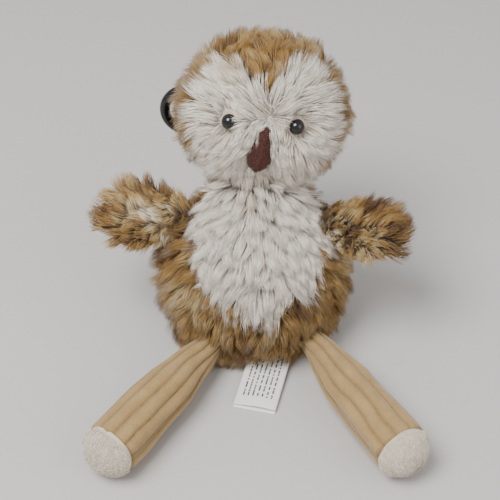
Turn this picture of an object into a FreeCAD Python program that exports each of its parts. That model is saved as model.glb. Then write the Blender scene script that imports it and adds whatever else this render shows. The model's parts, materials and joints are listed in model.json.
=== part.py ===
"""A seated soft-toy owl with a bag clip, in millimetres.

The toy sits on the plane Z = 0 with its origin in the middle of its seat. It faces -Y, +Z is up, and its own
left is +X. Head, torso, wings and legs are sewn from cloth panels round a loose filling. Where two of them
meet, the cloth is drawn together into a small firm gather, and the toy bends there: each gather is a ball in
two matching hollows. A webbing tab on the back of the head carries an oval snap clip.
"""

import FreeCAD
import Part
import math
import os
from FreeCAD import Placement, Rotation, Vector

# ---- cloth and clearances ------------------------------------------------------------------------------
plush_wall = 3.0  # backing cloth and the dense root of its long pile
short_wall = 1.5  # short-pile cloth of the legs and wings
velour_wall = 0.8  # cloth of the beak
fill_gap = 0.2  # between a cover and the filling in it
turn_gap = 0.4  # between a gather and the hollow that it turns in
sewn_gap = 0.1  # between a piece and the cloth that it is sewn on
floor_gap = 0.1  # under the feet and the care label

# ---- torso ---------------------------------------------------------------------------------------------
lean = 20.0  # degrees that the seated toy leans back
seat_round = 33.5  # radius of the round lower torso
seat_round_rise = 27.5  # of its middle, up the toy's long axis from the floor
chest_round = 19.0  # radius of the round upper torso
chest_round_rise = 52.0
belly_diameter = 52.0
belly_middle = 37.0  # up the toy's long axis from the floor

# ---- head ----------------------------------------------------------------------------------------------
head_round = 26.5  # radius of the round head
head_widening = 7.0  # how much wider than that round it is
head_roll = 4.5  # degrees that the crown tips towards the toy's left
neck_space = 1.0  # between torso and head
neck_radius = 9.0  # of the gather
face_seam = 5.0  # how far in front of the head's middle the face is sewn to the back
peak_width = 20.0  # of the dark forehead peak, at its top
peak_tip = 10.0  # height of the peak's tip above the head's middle
peak_side = 19.0  # height where the peak meets the crown seam

# ---- eyes and beak -------------------------------------------------------------------------------------
eye_diameter = 6.5
eye_sunk = 0.5  # how far the middle of its ball lies under the skin
eye_shank = 1.6
eye_shank_length = 8.0
eye_spacing = 27.0
eye_height = 0.8  # from the head's middle
washer_diameter = 8.0
washer_thickness = 1.2
beak_top_round = 1.4
beak_low_round = 4.7
beak_length = 20.0
beak_height = 0.5  # of its upper end, from the head's middle
beak_offset = 1.5  # of its upper end, towards the toy's left
beak_turn = 9.0  # degrees that its lower end points towards the toy's right
beak_slope = 15.0  # degrees that its lower end is drawn in under the face
beak_proud = 1.3  # how far the middle of its upper end stands out of the face

# ---- wings ---------------------------------------------------------------------------------------------
wing_length = 40.0
wing_root_round = 3.8
wing_tip_round = 12.5
wing_thickness = 8.0
wing_edge = 3.7  # rounding of its edges
wing_start = 7.5  # from the shoulder to the middle of its root round
shoulder_height = 52.0  # up the toy's long axis
shoulder_radius = 5.0

# ---- legs ----------------------------------------------------------------------------------------------
leg_length = 84.0
leg_root_round = 6.2
leg_thigh_round = 11.2
leg_foot_round = 12.2
leg_start = 8.5  # from the hip to the middle of its root round
leg_thigh = 36.0  # from the hip to the middle of its thigh round
toe_length = 9.5
hip_radius = 6.5
hip_spacing = 36.0
hip_shift = 2.0  # how far the twist of the seat carries both hips towards the toy's left
hip_height = 13.0

# ---- care label ----------------------------------------------------------------------------------------
label_width = 18.0
label_length = 30.0
label_overlap = 1.0  # how much longer its lower leaf is
label_cloth = 0.35
label_opening = 0.5  # between its two leaves
label_shift = 6.0  # of its root, towards the toy's left
label_turn = 14.0  # degrees that its free end points towards the toy's right
label_height = 3.2  # of its root above the floor

# ---- webbing tab and snap clip -------------------------------------------------------------------------
tab_width = 6.0
tab_thickness = 2.0  # two layers of webbing
loop_thickness = 1.0  # one layer
tab_rise = 50.0  # degrees above level, seen from the head's middle, where the tab leaves the head
tab_droop = 39.0  # degrees below level that the tab hangs
tab_length = 16.5  # from its bend to the middle of its loop
tab_shift = 2.0  # towards the toy's right
clip_length = 62.0
clip_width = 26.0
clip_bar = 4.6
clip_turn = 58.0  # degrees that the clip's far end lies towards the toy's right
loop_slack = 0.9  # between the clip's bar and the loop
gate_top = 4.5  # how far below the middle of the upper round the gate's mouth is
gate_length = 20.0
gate_gap = 0.3
gate_lap = 2.0  # overlap of the gate's nose and the frame's lip
gate_blade = 2.0  # thickness of the gate's root
pin_radius = 0.8
pin_length = 4.0
pin_gap = 0.05
coil_radius = 1.2
wire_radius = 0.2
wire_gap = 0.2
spring_leg = 3.2

far = 200.0  # larger than the toy, for halves and lines of sight

# A side is +1 on the toy's left and -1 on its right.
sides = {1: "left", -1: "right"}
wing_reach = {1: Vector(0.78, -0.58, 0.10), -1: Vector(-0.97, -0.16, 0.08)}  # from shoulder to tip
wing_top = {1: Vector(0.30, -0.50, 0.80), -1: Vector(-0.10, -0.60, 0.80)}  # the way its fur side faces
leg_splay = {1: 28.5, -1: 33.5}  # degrees that the leg points outwards from straight ahead


# ---- shapes --------------------------------------------------------------------------------------------
def taper(low_round, low_middle, high_round, high_middle):
    """A solid round Z: a ball at each height and the cone that touches both."""
    lean_in = math.asin((high_round - low_round) / (high_middle - low_middle))

    def on_ball(radius, middle, angle):
        return Vector(radius * math.cos(angle), 0, middle + radius * math.sin(angle))

    quarter = math.pi / 2
    low = [on_ball(low_round, low_middle, a) for a in (-quarter, -(quarter + lean_in) / 2, -lean_in)]
    high = [on_ball(high_round, high_middle, a) for a in (-lean_in, (quarter - lean_in) / 2, quarter)]
    arcs = [Part.Arc(*points).toShape() for points in (low, high)]
    lines = [Part.makeLine(low[2], high[0]), Part.makeLine(high[2], low[0])]
    outline = Part.Wire([arcs[0], lines[0], arcs[1], lines[1]])
    return Part.Face(outline).revolve(Vector(0, 0, 0), Vector(0, 0, 1), 360).Solids[0]


def torso_solid(wall):
    """The torso as it leans, smaller by a wall all round and not yet pressed flat."""
    solid = taper(seat_round - wall, seat_round_rise, chest_round - wall, chest_round_rise)
    seam_behind = Placement(Vector(0, 0, 0), Rotation(Vector(0, 0, 1), 90))
    return moved(solid, toy.multiply(seam_behind))


def head_solid(wall):
    """The head in its own frame, smaller by a wall all round: two balls side by side and what joins them."""
    radius = head_round - wall
    start = Vector(-head_widening / 2, 0, 0)
    solid = Part.makeCylinder(radius, head_widening, start, Vector(1, 0, 0))
    for side in (-1, 1):
        middle = Vector(side * head_widening / 2, 0, 0)
        half_ball = Part.makeSphere(radius, middle, Vector(side, 0, 0), 0, 90, 360)
        solid = solid.fuse(half_ball)
    return solid


def wing_solid(wall):
    """A flat drop with rounded edges, smaller by a wall all round; Z runs to its tip and Y is its thickness."""
    root, tip = wing_root_round - wall, wing_tip_round - wall
    tip_middle = wing_length - wing_tip_round
    thickness = wing_thickness - 2 * wall
    lean_in = math.asin((tip - root) / (tip_middle - wing_start))
    corners = []
    for radius, middle in ((root, wing_start), (tip, tip_middle)):
        corners.append(Vector(radius * math.cos(lean_in), 0, middle - radius * math.sin(lean_in)))
    root_corner, tip_corner = corners
    mirrored = [Vector(-corner.x, 0, corner.z) for corner in corners]
    edges = [
        Part.Arc(mirrored[0], Vector(0, 0, wing_start - root), root_corner).toShape(),
        Part.makeLine(root_corner, tip_corner),
        Part.Arc(tip_corner, Vector(0, 0, tip_middle + tip), mirrored[1]).toShape(),
        Part.makeLine(mirrored[1], mirrored[0]),
    ]
    slab = Part.Face(Part.Wire(edges)).extrude(Vector(0, thickness, 0))
    slab.translate(Vector(0, -thickness / 2, 0))
    rims = [edge for edge in slab.Edges if abs(edge.Vertexes[0].Y - edge.Vertexes[-1].Y) < thickness / 2]
    return slab.makeFillet(wing_edge - wall, rims)


def leg_solid(wall):
    """The leg, smaller by a wall all round; Z runs from the hip to the toe. It widens fast to its thigh."""
    foot_middle = leg_length - leg_foot_round
    thigh = leg_thigh_round - wall
    upper = taper(leg_root_round - wall, leg_start, thigh, leg_thigh)
    return upper.fuse(taper(thigh, leg_thigh, leg_foot_round - wall, foot_middle)).Solids[0]


def beak_solid(wall):
    """The beak, smaller by a wall all round; Z runs from its upper to its lower end."""
    low_middle = beak_length - beak_low_round
    return taper(beak_top_round - wall, beak_top_round, beak_low_round - wall, low_middle)


def half_space(side):
    """Everything on one side of a plane through the origin, such as '+y' or '-z'."""
    axis = {"x": Vector(far, 0, 0), "y": Vector(0, far, 0), "z": Vector(0, 0, far)}[side[1]]
    block = Part.makeBox(2 * far, 2 * far, 2 * far, Vector(-far, -far, -far))
    block.translate(axis if side[0] == "+" else axis * -1)
    return block


def moved(shape, place):
    copy = shape.copy()
    copy.Placement = place.multiply(copy.Placement)
    return copy


def lifted(shape, rise):
    return moved(shape, Placement(Vector(0, 0, rise), Rotation()))


def way_out(solid, start, direction):
    """The point where a straight line from a point in a solid leaves the solid."""
    line = Part.makeLine(start, start + Vector(direction).normalize() * far)
    ends = [vertex.Point for vertex in line.common(solid).Vertexes]
    return max(ends, key=lambda point: point.distanceToPoint(start))


def facing(direction, up):
    """A turn that points local Z along a direction and keeps local Y as near as it can to up."""
    ahead = Vector(direction).normalize()
    across = Vector(up).cross(ahead).normalize()
    return Rotation(across, ahead.cross(across), ahead, "ZXY")


# ---- where things are ----------------------------------------------------------------------------------
# The ball of the lower torso stands right over the origin, so the flat seat that it is pressed to is round it.
lean_angle = math.radians(lean)
toy = Placement(Vector(0, -seat_round_rise * math.sin(lean_angle), 0), Rotation(Vector(1, 0, 0), -lean))
neck_height = chest_round_rise + chest_round + neck_space / 2
neck_place = toy.multiply(Placement(Vector(0, 0, neck_height), Rotation(Vector(0, 1, 0), head_roll)))
head_rise = head_round + neck_space / 2
head_place = neck_place.multiply(Placement(Vector(0, 0, head_rise), Rotation()))


def shoulder_point(side):
    start = toy.multVec(Vector(0, 0, shoulder_height))
    return way_out(torso_solid(0), start, Vector(side, 0, 0))


def hip_point(side):
    start = Vector(hip_shift + side * hip_spacing / 2, 0, hip_height)
    return way_out(torso_solid(0), start, Vector(0, -1, 0))


def wing_place(side):
    return Placement(shoulder_point(side), facing(wing_reach[side], wing_top[side]))


def leg_place(side):
    """The leg points outwards, and down by just as much as brings its thick end to the floor."""
    hip = hip_point(side)
    drop = math.asin((hip.z - leg_foot_round - floor_gap) / (leg_length - leg_foot_round))
    splay = math.radians(leg_splay[side])
    ahead = math.cos(drop)
    reach = Vector(side * math.sin(splay) * ahead, -math.cos(splay) * ahead, -math.sin(drop))
    return Placement(hip, facing(reach, Vector(0, 0, 1)))


def label_place():
    """Local -Y runs down the label and local X across it; its root bends about local X."""
    thickness = 2 * label_cloth + label_opening
    ball_rise = seat_round_rise * math.cos(lean_angle) - label_height
    clear = seat_round + thickness / 2 + turn_gap
    ahead = math.sqrt(clear**2 - ball_rise**2) + label_width / 2 * math.sin(math.radians(label_turn))
    root = Vector(label_shift, -ahead, label_height)
    drop = math.asin((label_height - thickness / 2 - floor_gap) / (label_length + label_overlap))
    turn = Rotation(Vector(0, 0, 1), -label_turn).multiply(Rotation(Vector(1, 0, 0), math.degrees(drop)))
    return Placement(root, turn)


def tab_place():
    """Local X runs across the tab and local Y along it to its loop; it bends about local X."""
    middle = head_place.Base - Vector(tab_shift, 0, 0)
    rise = math.radians(tab_rise)
    away = Vector(0, math.cos(rise), math.sin(rise))
    root = way_out(moved(head_solid(0), head_place), middle, away)
    proud = tab_thickness / 2 + turn_gap
    return Placement(root + away * proud, Rotation(Vector(1, 0, 0), -tab_droop))


bar_radius = clip_bar / 2
round_radius = clip_width / 2 - bar_radius  # of the middle line of the clip's two round ends
clip_straight = clip_length - clip_width
gate_pin = Vector(round_radius, 0, -gate_top - gate_length)  # in the clip's frame


def clip_place():
    """The origin is the middle of the clip's upper round, Z runs up to the tab and Y is its thickness."""
    loop = tab_place().multVec(Vector(0, tab_length, 0))
    return Placement(loop - Vector(0, 0, round_radius), Rotation(Vector(0, 1, 0), clip_turn))


# ---- torso ---------------------------------------------------------------------------------------------
def gathers():
    """The balls of drawn-up cloth: (name, radius, middle)."""
    found = [("neck_gather", neck_radius, neck_place.Base)]
    for side, name in sides.items():
        found.append((name + "_shoulder_gather", shoulder_radius, shoulder_point(side)))
        found.append((name + "_hip_gather", hip_radius, hip_point(side)))
    return found


def make_torso():
    above = half_space("+z")
    cavity = torso_solid(plush_wall).common(lifted(above, plush_wall))
    cover = torso_solid(0).common(above).cut(cavity)
    filling = torso_solid(plush_wall + fill_gap).common(lifted(above, plush_wall + fill_gap))
    nodes = {}
    heart = toy.multVec(Vector(0, 0, belly_middle))
    for name, radius, middle in gathers():
        # the hollow's poles point out of and into the torso, clear of its wall
        hollow = Part.makeSphere(radius + turn_gap, middle, middle - heart)
        cover = cover.cut(hollow)
        filling = filling.cut(hollow)
        nodes[name] = Part.makeSphere(radius, middle)
    front = cover.common(moved(half_space("-y"), toy))
    disc = Part.makeCylinder(belly_diameter / 2, far, Vector(0, 0, belly_middle), Vector(0, -1, 0))
    disc = moved(disc, toy)
    nodes["body_back_panel"] = cover.common(moved(half_space("+y"), toy))
    nodes["body_front_panel"] = front.cut(disc)
    nodes["belly_panel"] = front.common(disc)
    nodes["body_stuffing"] = filling
    return nodes


# ---- head ----------------------------------------------------------------------------------------------
def eye_place(side):
    """In the head's frame, at the skin, with local Z out of the face along the shank."""
    flare = math.asin((eye_spacing - head_widening) / 2 / head_round)
    aim = Vector(side * math.sin(flare), -math.cos(flare), 0)
    start = Vector(side * head_widening / 2, 0, eye_height)
    point = way_out(head_solid(0), start, aim)
    return Placement(point, facing(aim, Vector(0, 0, 1)))


def make_eye(place):
    """(eye, washer, hole through the cover, room in the filling), in the head's frame."""
    ball = moved(Part.makeSphere(eye_diameter / 2, Vector(0, 0, -eye_sunk)), place)
    dome = ball.cut(head_solid(-sewn_gap))
    down = Vector(0, 0, -1)
    base = Vector(0, 0, eye_sunk)
    shank = Part.makeCylinder(eye_shank / 2, eye_shank_length + base.z, base, down)
    hole = Part.makeCylinder(eye_shank / 2 + sewn_gap, eye_shank_length + base.z + fill_gap, base, down)
    bulge = washer_diameter**2 / (8 * (head_round - plush_wall))  # of the wall over the washer's width
    top = Vector(0, 0, -plush_wall - 2 * fill_gap - bulge)
    washer = Part.makeCylinder(washer_diameter / 2, washer_thickness, top, down).cut(hole)
    pocket_radius = washer_diameter / 2 + fill_gap
    pocket_top = top + Vector(0, 0, fill_gap)
    pocket = Part.makeCylinder(pocket_radius, washer_thickness + 2 * fill_gap, pocket_top, down)
    eye = dome.fuse(moved(shank, place))
    return eye, moved(washer, place), moved(hole, place), moved(hole.fuse(pocket), place)


def make_beak():
    """(cover, filling) in the head's frame, both trimmed to lie on the face."""
    face = way_out(head_solid(0), Vector(beak_offset, 0, beak_height), Vector(0, -1, 0))
    upside_down = Rotation(Vector(1, 0, 0), 180)
    turn = Rotation(Vector(0, 1, 0), beak_turn).multiply(Rotation(Vector(1, 0, 0), beak_slope))
    place = Placement(face - Vector(0, beak_proud, 0), turn.multiply(upside_down))
    outside = moved(beak_solid(0), place).cut(head_solid(-sewn_gap))
    cavity = moved(beak_solid(velour_wall), place).cut(head_solid(-sewn_gap - velour_wall))
    spare = velour_wall + fill_gap
    filling = moved(beak_solid(spare), place).cut(head_solid(-sewn_gap - spare))
    return outside.cut(cavity), filling


def make_head():
    cover = head_solid(0).cut(head_solid(plush_wall))
    filling = head_solid(plush_wall + fill_gap)
    neck_hollow = Part.makeSphere(neck_radius + turn_gap, Vector(0, 0, -head_rise))
    cover = cover.cut(neck_hollow)
    filling = filling.cut(neck_hollow)
    nodes = {}
    for side, name in sides.items():
        eye, washer, hole, room = make_eye(eye_place(side))
        nodes[name + "_eye"] = eye
        nodes[name + "_eye_washer"] = washer
        cover = cover.cut(hole)
        filling = filling.cut(room)
    seam = moved(half_space("-y"), Placement(Vector(0, -face_seam, 0), Rotation()))
    front = cover.common(seam)
    corners = [(-peak_width / 2, peak_side), (0, peak_tip), (peak_width / 2, peak_side)]
    corners += [(far, peak_side), (far, far), (-far, far), (-far, peak_side)]
    outline = [Vector(x, -far, z) for x, z in corners]
    crown = Part.Face(Part.makePolygon(outline + outline[:1])).extrude(Vector(0, far, 0))
    nodes["crown_panel"] = front.common(crown)
    nodes["face_panel"] = front.cut(crown)
    nodes["head_back_panel"] = cover.cut(seam)
    nodes["head_stuffing"] = filling
    nodes["beak_cover"], nodes["beak_stuffing"] = make_beak()
    return {name: moved(shape, head_place) for name, shape in nodes.items()}


# ---- wings and legs ------------------------------------------------------------------------------------
def make_limb(solid, place, joint_radius):
    """(upper half of the cover, lower half of the cover, filling), each with a hollow for its gather."""
    hollow = Part.makeSphere(joint_radius + turn_gap)
    cover = solid(0).cut(solid(short_wall)).cut(hollow)
    filling = solid(short_wall + fill_gap).cut(hollow)
    upper = cover.common(half_space("+y"))
    lower = cover.common(half_space("-y"))
    return moved(upper, place), moved(lower, place), moved(filling, place)


def make_wing(side):
    upper, lower, filling = make_limb(wing_solid, wing_place(side), shoulder_radius)
    name = sides[side] + "_wing"
    return {name + "_fur_panel": upper, name + "_lining": lower, name + "_stuffing": filling}


def make_leg(side):
    place = leg_place(side)
    upper, lower, filling = make_limb(leg_solid, place, hip_radius)
    toe_end = moved(lifted(half_space("+z"), leg_length - toe_length), place)
    name = sides[side]
    return {
        name + "_leg_upper_panel": upper.cut(toe_end),
        name + "_leg_under_panel": lower.cut(toe_end),
        name + "_toe_cap": upper.common(toe_end),
        name + "_sole_panel": lower.common(toe_end),
        name + "_leg_stuffing": filling,
    }


# ---- care label ----------------------------------------------------------------------------------------
def make_label():
    """One strip folded at its root, so that it hangs as two leaves with their ends free."""
    thickness = 2 * label_cloth + label_opening
    low = -thickness / 2
    lower_length = label_length + label_overlap
    left = -label_width / 2
    fold = Part.makeCylinder(thickness / 2, label_width, Vector(left, 0, 0), Vector(1, 0, 0))
    fold = fold.common(half_space("+y"))
    body = Part.makeBox(label_width, label_length, thickness, Vector(left, -label_length, low))
    lower = Part.makeBox(label_width, lower_length, label_cloth, Vector(left, -lower_length, low))
    opening_corner = Vector(left, -label_length, -label_opening / 2)
    opening = Part.makeBox(label_width, label_length, label_opening, opening_corner)
    label = body.fuse(fold).fuse(lower).cut(opening).removeSplitter()
    return {"care_label": moved(label, label_place())}


# ---- webbing tab ---------------------------------------------------------------------------------------
def make_tab():
    left = -tab_width / 2
    across = Vector(1, 0, 0)
    loop_middle = Vector(left, tab_length, 0)
    hole_radius = bar_radius + loop_slack
    loop = Part.makeCylinder(hole_radius + loop_thickness, tab_width, loop_middle, across)
    hole = Part.makeCylinder(hole_radius, tab_width, loop_middle, across)
    strap = Part.makeBox(tab_width, tab_length, tab_thickness, Vector(left, 0, -tab_thickness / 2))
    bend = Part.makeCylinder(tab_thickness / 2, tab_width, Vector(left, 0, 0), across)
    tab = bend.fuse(strap).fuse(loop).cut(hole).removeSplitter()
    return {"webbing_tab": moved(tab, tab_place())}


# ---- snap clip -----------------------------------------------------------------------------------------
def clip_ring():
    """The whole oval of round bar, before the gate's mouth is cut."""
    torus = Part.makeTorus(round_radius, bar_radius, Vector(0, 0, 0), Vector(0, 1, 0))
    ring = torus.common(half_space("+z")).fuse(lifted(torus.common(half_space("-z")), -clip_straight))
    for x in (-round_radius, round_radius):
        ring = ring.fuse(Part.makeCylinder(bar_radius, clip_straight, Vector(x, 0, -clip_straight)))
    return ring.removeSplitter()


def bar_part(left, top, low):
    """A block round the gate's bar between two heights, from X = left outwards."""
    return Part.makeBox(clip_width, clip_width, top - low, Vector(left, -clip_width / 2, low))


def on_pin(radius, length):
    """A cylinder along the gate's pin."""
    return Part.makeCylinder(radius, length, gate_pin - Vector(0, length / 2, 0), Vector(0, 1, 0))


def spring_legs(radius):
    """The straight wire that stands beside the pin and runs into the gate above and the frame below."""
    return Part.makeCylinder(radius, 2 * spring_leg, gate_pin - Vector(coil_radius, 0, spring_leg))


def spring_room():
    """The slot in the gate's root where the coil sits and its legs swing as the gate turns."""
    half = wire_radius + wire_gap
    coil = on_pin(coil_radius + half, 2 * half)
    low_corner = gate_pin - Vector(clip_width + coil_radius - half, half, clip_bar)
    low = Part.makeBox(clip_width, 2 * half, clip_bar, low_corner)
    high_corner = gate_pin - Vector(clip_width - coil_radius / 2 - half, half, 0)
    high = Part.makeBox(clip_width, 2 * half, spring_leg + 2 * half, high_corner)
    return coil.fuse(low).fuse(high)


def make_frame(bar, mouth):
    """The bar without its mouth, with a lip over the gate's nose and a fork round the gate's root."""
    lip = bar_part(round_radius + gate_gap / 2, mouth, mouth - gate_lap)
    fork_top = gate_pin.z + bar_radius
    opened = bar.cut(bar_part(0, mouth, gate_pin.z)).fuse(bar.common(lip))
    fork = bar.common(bar_part(0, fork_top, gate_pin.z)).common(on_pin(bar_radius, clip_bar))
    half = (gate_blade + gate_gap) / 2
    slot_floor = gate_pin.z - bar_radius - gate_gap
    slot = Part.makeBox(clip_width, 2 * half, fork_top - slot_floor, Vector(0, -half, slot_floor))
    frame = opened.fuse(fork).cut(slot)
    return frame.cut(on_pin(pin_radius, clip_bar)).cut(spring_legs(wire_radius)).removeSplitter()


def make_gate(bar, mouth):
    """A bar with a thin root on the pin and a nose that rests inside the frame's lip."""
    shoulder = gate_pin.z + bar_radius + gate_gap
    nose_cut = bar_part(round_radius - gate_gap / 2, mouth, mouth - gate_lap - gate_gap)
    shaft = bar.common(bar_part(0, mouth - gate_gap, shoulder)).cut(nose_cut)
    leaf = Part.makeBox(clip_width, gate_blade, clip_bar, gate_pin - Vector(clip_width / 2, gate_blade / 2, 0))
    blade = bar.common(bar_part(0, shoulder, gate_pin.z)).common(leaf).fuse(on_pin(bar_radius, gate_blade))
    gate = shaft.fuse(blade).cut(on_pin(pin_radius + pin_gap, clip_bar)).cut(spring_room())
    return gate.removeSplitter()


def make_clip():
    bar = clip_ring()
    coil = Part.makeTorus(coil_radius, wire_radius, gate_pin, Vector(0, 1, 0))
    nodes = {
        "clip_frame": make_frame(bar, -gate_top),
        "clip_gate": make_gate(bar, -gate_top),
        "gate_pin": on_pin(pin_radius, pin_length),
        "gate_spring": coil.fuse(spring_legs(wire_radius)),
    }
    return {name: moved(shape, clip_place()) for name, shape in nodes.items()}


# ---- the whole toy -------------------------------------------------------------------------------------
def make_toy():
    nodes = make_torso()
    nodes.update(make_head())
    for side in sides:
        nodes.update(make_wing(side))
        nodes.update(make_leg(side))
    nodes.update(make_label())
    nodes.update(make_tab())
    nodes.update(make_clip())
    return nodes


def main():
    os.makedirs("parts", exist_ok=True)
    for name, shape in make_toy().items():
        solids = shape.Solids
        if len(solids) != 1 or not shape.isValid():
            raise ValueError(f"{name} has {len(solids)} solids, valid: {shape.isValid()}")
        solids[0].exportStep(f"parts/{name}.step")


if __name__ == "__main__":
    main()
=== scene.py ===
"""The looks of a seated plush owl with a bag clip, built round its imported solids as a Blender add-on.

Sizes inside the making functions are in millimetres; new_piece turns them to metres. The toy faces -Y and its
own left is +X. Every soft panel of the solids is replaced by a padded form with its pile, in real strands.
"""

import json
import math

import bpy
import numpy as np
from bpy.props import FloatProperty, FloatVectorProperty, PointerProperty
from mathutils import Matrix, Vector


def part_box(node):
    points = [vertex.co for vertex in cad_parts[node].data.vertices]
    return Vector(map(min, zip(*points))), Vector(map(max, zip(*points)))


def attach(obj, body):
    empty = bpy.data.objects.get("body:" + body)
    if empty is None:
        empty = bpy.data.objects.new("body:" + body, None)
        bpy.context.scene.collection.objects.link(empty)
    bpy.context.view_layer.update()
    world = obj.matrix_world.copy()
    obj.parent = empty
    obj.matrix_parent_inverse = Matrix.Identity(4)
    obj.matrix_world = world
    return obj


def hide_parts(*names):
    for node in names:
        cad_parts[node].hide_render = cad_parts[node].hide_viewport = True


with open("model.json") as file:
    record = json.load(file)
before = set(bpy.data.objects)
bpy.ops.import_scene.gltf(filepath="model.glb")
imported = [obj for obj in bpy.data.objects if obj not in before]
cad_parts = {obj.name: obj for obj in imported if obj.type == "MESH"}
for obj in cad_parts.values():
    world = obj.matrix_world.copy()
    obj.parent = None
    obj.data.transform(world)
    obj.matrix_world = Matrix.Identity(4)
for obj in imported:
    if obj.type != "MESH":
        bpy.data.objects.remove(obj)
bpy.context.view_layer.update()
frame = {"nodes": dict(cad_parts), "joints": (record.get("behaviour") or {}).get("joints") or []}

bl_info = {
    "name": "Plush owl with bag clip",
    "version": (1, 0, 0),
    "blender": (4, 5, 0),
    "location": "View3D > Sidebar > Plush owl",
    "description": "Makes a small plush owl: padded forms, long pile, corduroy legs, label and clip",
    "category": "Object",
}

MM = 0.001
SIM_SCALE = 20.0  # the cloth is simulated this much larger, where its steps suit it
SOWN_PER_MM2 = 5.2  # places for strands that are drawn on each square millimetre, before a panel's most
SIDES = {"left": 1, "right": -1}

# ---- the toy's own sizes in millimetres, the same as its solids' ----------------------------------------
SEAT_ROUND, SEAT_RISE = 33.5, 27.5
CHEST_ROUND, CHEST_RISE = 19.0, 52.0
LEAN = math.radians(20)
HEAD_ROUND, HEAD_WIDENING, HEAD_RISE = 26.5, 7.0, 27.0
HEAD_ROLL = math.radians(4.5)
WING_LENGTH, WING_ROOT, WING_TIP, WING_THICKNESS, WING_START = 40.0, 3.8, 12.5, 8.0, 7.5
WING_REACH = {"left": (0.78, -0.58, 0.10), "right": (-0.97, -0.16, 0.08)}
WING_TOP = {"left": (0.30, -0.50, 0.80), "right": (-0.10, -0.60, 0.80)}
LEG_LENGTH, LEG_ROOT, LEG_THIGH, LEG_FOOT = 84.0, 6.2, 11.2, 12.2
LEG_START, LEG_THIGH_START, TOE_LENGTH = 8.5, 36.0, 9.5
LEG_SPLAY = {"left": math.radians(28.5), "right": math.radians(33.5)}
LABEL_LENGTH, LABEL_OVERLAP, LABEL_THICKNESS, LABEL_CLOTH = 30.0, 1.0, 1.2, 0.35
CLIP_ROUND, CLIP_STRAIGHT, CLIP_BAR = 10.7, 36.0, 2.3
CLIP_TURN = math.radians(58)
EYE_HEIGHT = 0.8


# ---- small sums ----------------------------------------------------------------------------------------
def linear(colour):
    """A colour in sRGB hex as linear red, green, blue and a full alpha."""
    parts = [int(colour[i : i + 2], 16) / 255 for i in (1, 3, 5)]
    return [c / 12.92 if c <= 0.04045 else ((c + 0.055) / 1.055) ** 2.4 for c in parts] + [1.0]


def unit(vectors):
    """Vectors divided by their lengths."""
    return vectors / np.maximum(np.linalg.norm(vectors, axis=-1, keepdims=True), 1e-9)


def smooth(values, low, high):
    """0 below low, 1 above high, and 3t^2 - 2t^3 between."""
    t = np.clip((values - low) / (high - low), 0, 1)
    return t * t * (3 - 2 * t)


def ripple(points, size, seed):
    """A smooth noise of about -1 to 1: the mean of sines along 14 random directions, each a few sizes long."""
    random = np.random.default_rng(seed)
    ways = unit(random.normal(size=(14, 3))) * random.uniform(0.6, 1.6, (14, 1)) * math.tau / (2 * size)
    return np.sin(points @ ways.T + random.uniform(0, math.tau, 14)).sum(axis=1) / math.sqrt(14)


def turned(axis, angle):
    """The matrix that turns about X (0) or Y (1) by an angle."""
    c, s = math.cos(angle), math.sin(angle)
    if axis == 0:
        return np.array([[1, 0, 0], [0, c, -s], [0, s, c]])
    return np.array([[c, 0, s], [0, 1, 0], [-s, 0, c]])


def facing(ahead, up):
    """The matrix whose columns are a frame with Z along ahead and Y as near as it can be to up."""
    z = unit(np.array(ahead, float))
    x = unit(np.cross(np.array(up, float), z))
    return np.stack([x, np.cross(z, x), z], axis=1)


def put(points, place):
    """Points of a place's own frame in the toy's frame: turned by its matrix, then shifted by its base."""
    turn, base = place
    return points @ turn.T + base


def taken(points, place):
    """Points of the toy's frame in a place's own frame."""
    turn, base = place
    return (points - base) @ turn


def joint_point(name):
    """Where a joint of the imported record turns, in millimetres."""
    joint = next(j for j in frame["joints"] if j["name"] == name)
    return np.array(joint["pos_m"]) / MM


# ---- where things are ----------------------------------------------------------------------------------
TOY = (turned(0, -LEAN), np.array([0, -SEAT_RISE * math.sin(LEAN), 0]))
NECK = (TOY[0] @ turned(1, HEAD_ROLL), joint_point("neck_turn"))
HEAD = (NECK[0], NECK[1] + NECK[0][:, 2] * HEAD_RISE)


def wing_place(name):
    """(axes, root) of a wing: its own Z runs out to the tip, and its own Y away from the lining."""
    return facing(WING_REACH[name], WING_TOP[name]), joint_point(name + "_wing_raise")


def leg_place(name):
    """The leg points outwards, and down by just as much as brings its thick end to the floor."""
    hip = joint_point(name + "_leg_spread")
    drop = math.asin((hip[2] - LEG_FOOT - 0.1) / (LEG_LENGTH - LEG_FOOT))
    splay = LEG_SPLAY[name]
    side = SIDES[name]
    level = math.cos(drop)
    return facing((side * math.sin(splay) * level, -math.cos(splay) * level, -math.sin(drop)), (0, 0, 1)), hip


def clip_line():
    """Points round the middle of the clip's bar, in millimetres: two half circles and two straights."""
    box = [np.array(corner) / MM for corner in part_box("clip_frame")]
    middle = (box[0] + box[1]) / 2
    turn = turned(1, CLIP_TURN)
    a = np.linspace(0, math.tau, 120, endpoint=False)
    z = CLIP_ROUND * np.sin(a) + np.where(np.sin(a) > 0, 1, -1) * CLIP_STRAIGHT / 2
    line = np.stack([CLIP_ROUND * np.cos(a), 0 * a, z], axis=1)
    fill = np.linspace(-CLIP_STRAIGHT / 2, CLIP_STRAIGHT / 2, 20)
    runs = [np.stack([0 * fill + x, 0 * fill, fill], axis=1) for x in (-CLIP_ROUND, CLIP_ROUND)]
    return np.concatenate([line, *runs]) @ turn.T + middle


# ---- meshes --------------------------------------------------------------------------------------------
def outward(points, triangles):
    """The triangles with their corners ordered so that the shell's volume is positive."""
    a, b, c = (points[triangles[:, i]] for i in range(3))
    return triangles if (a * np.cross(b, c)).sum() > 0 else triangles[:, ::-1]


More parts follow.
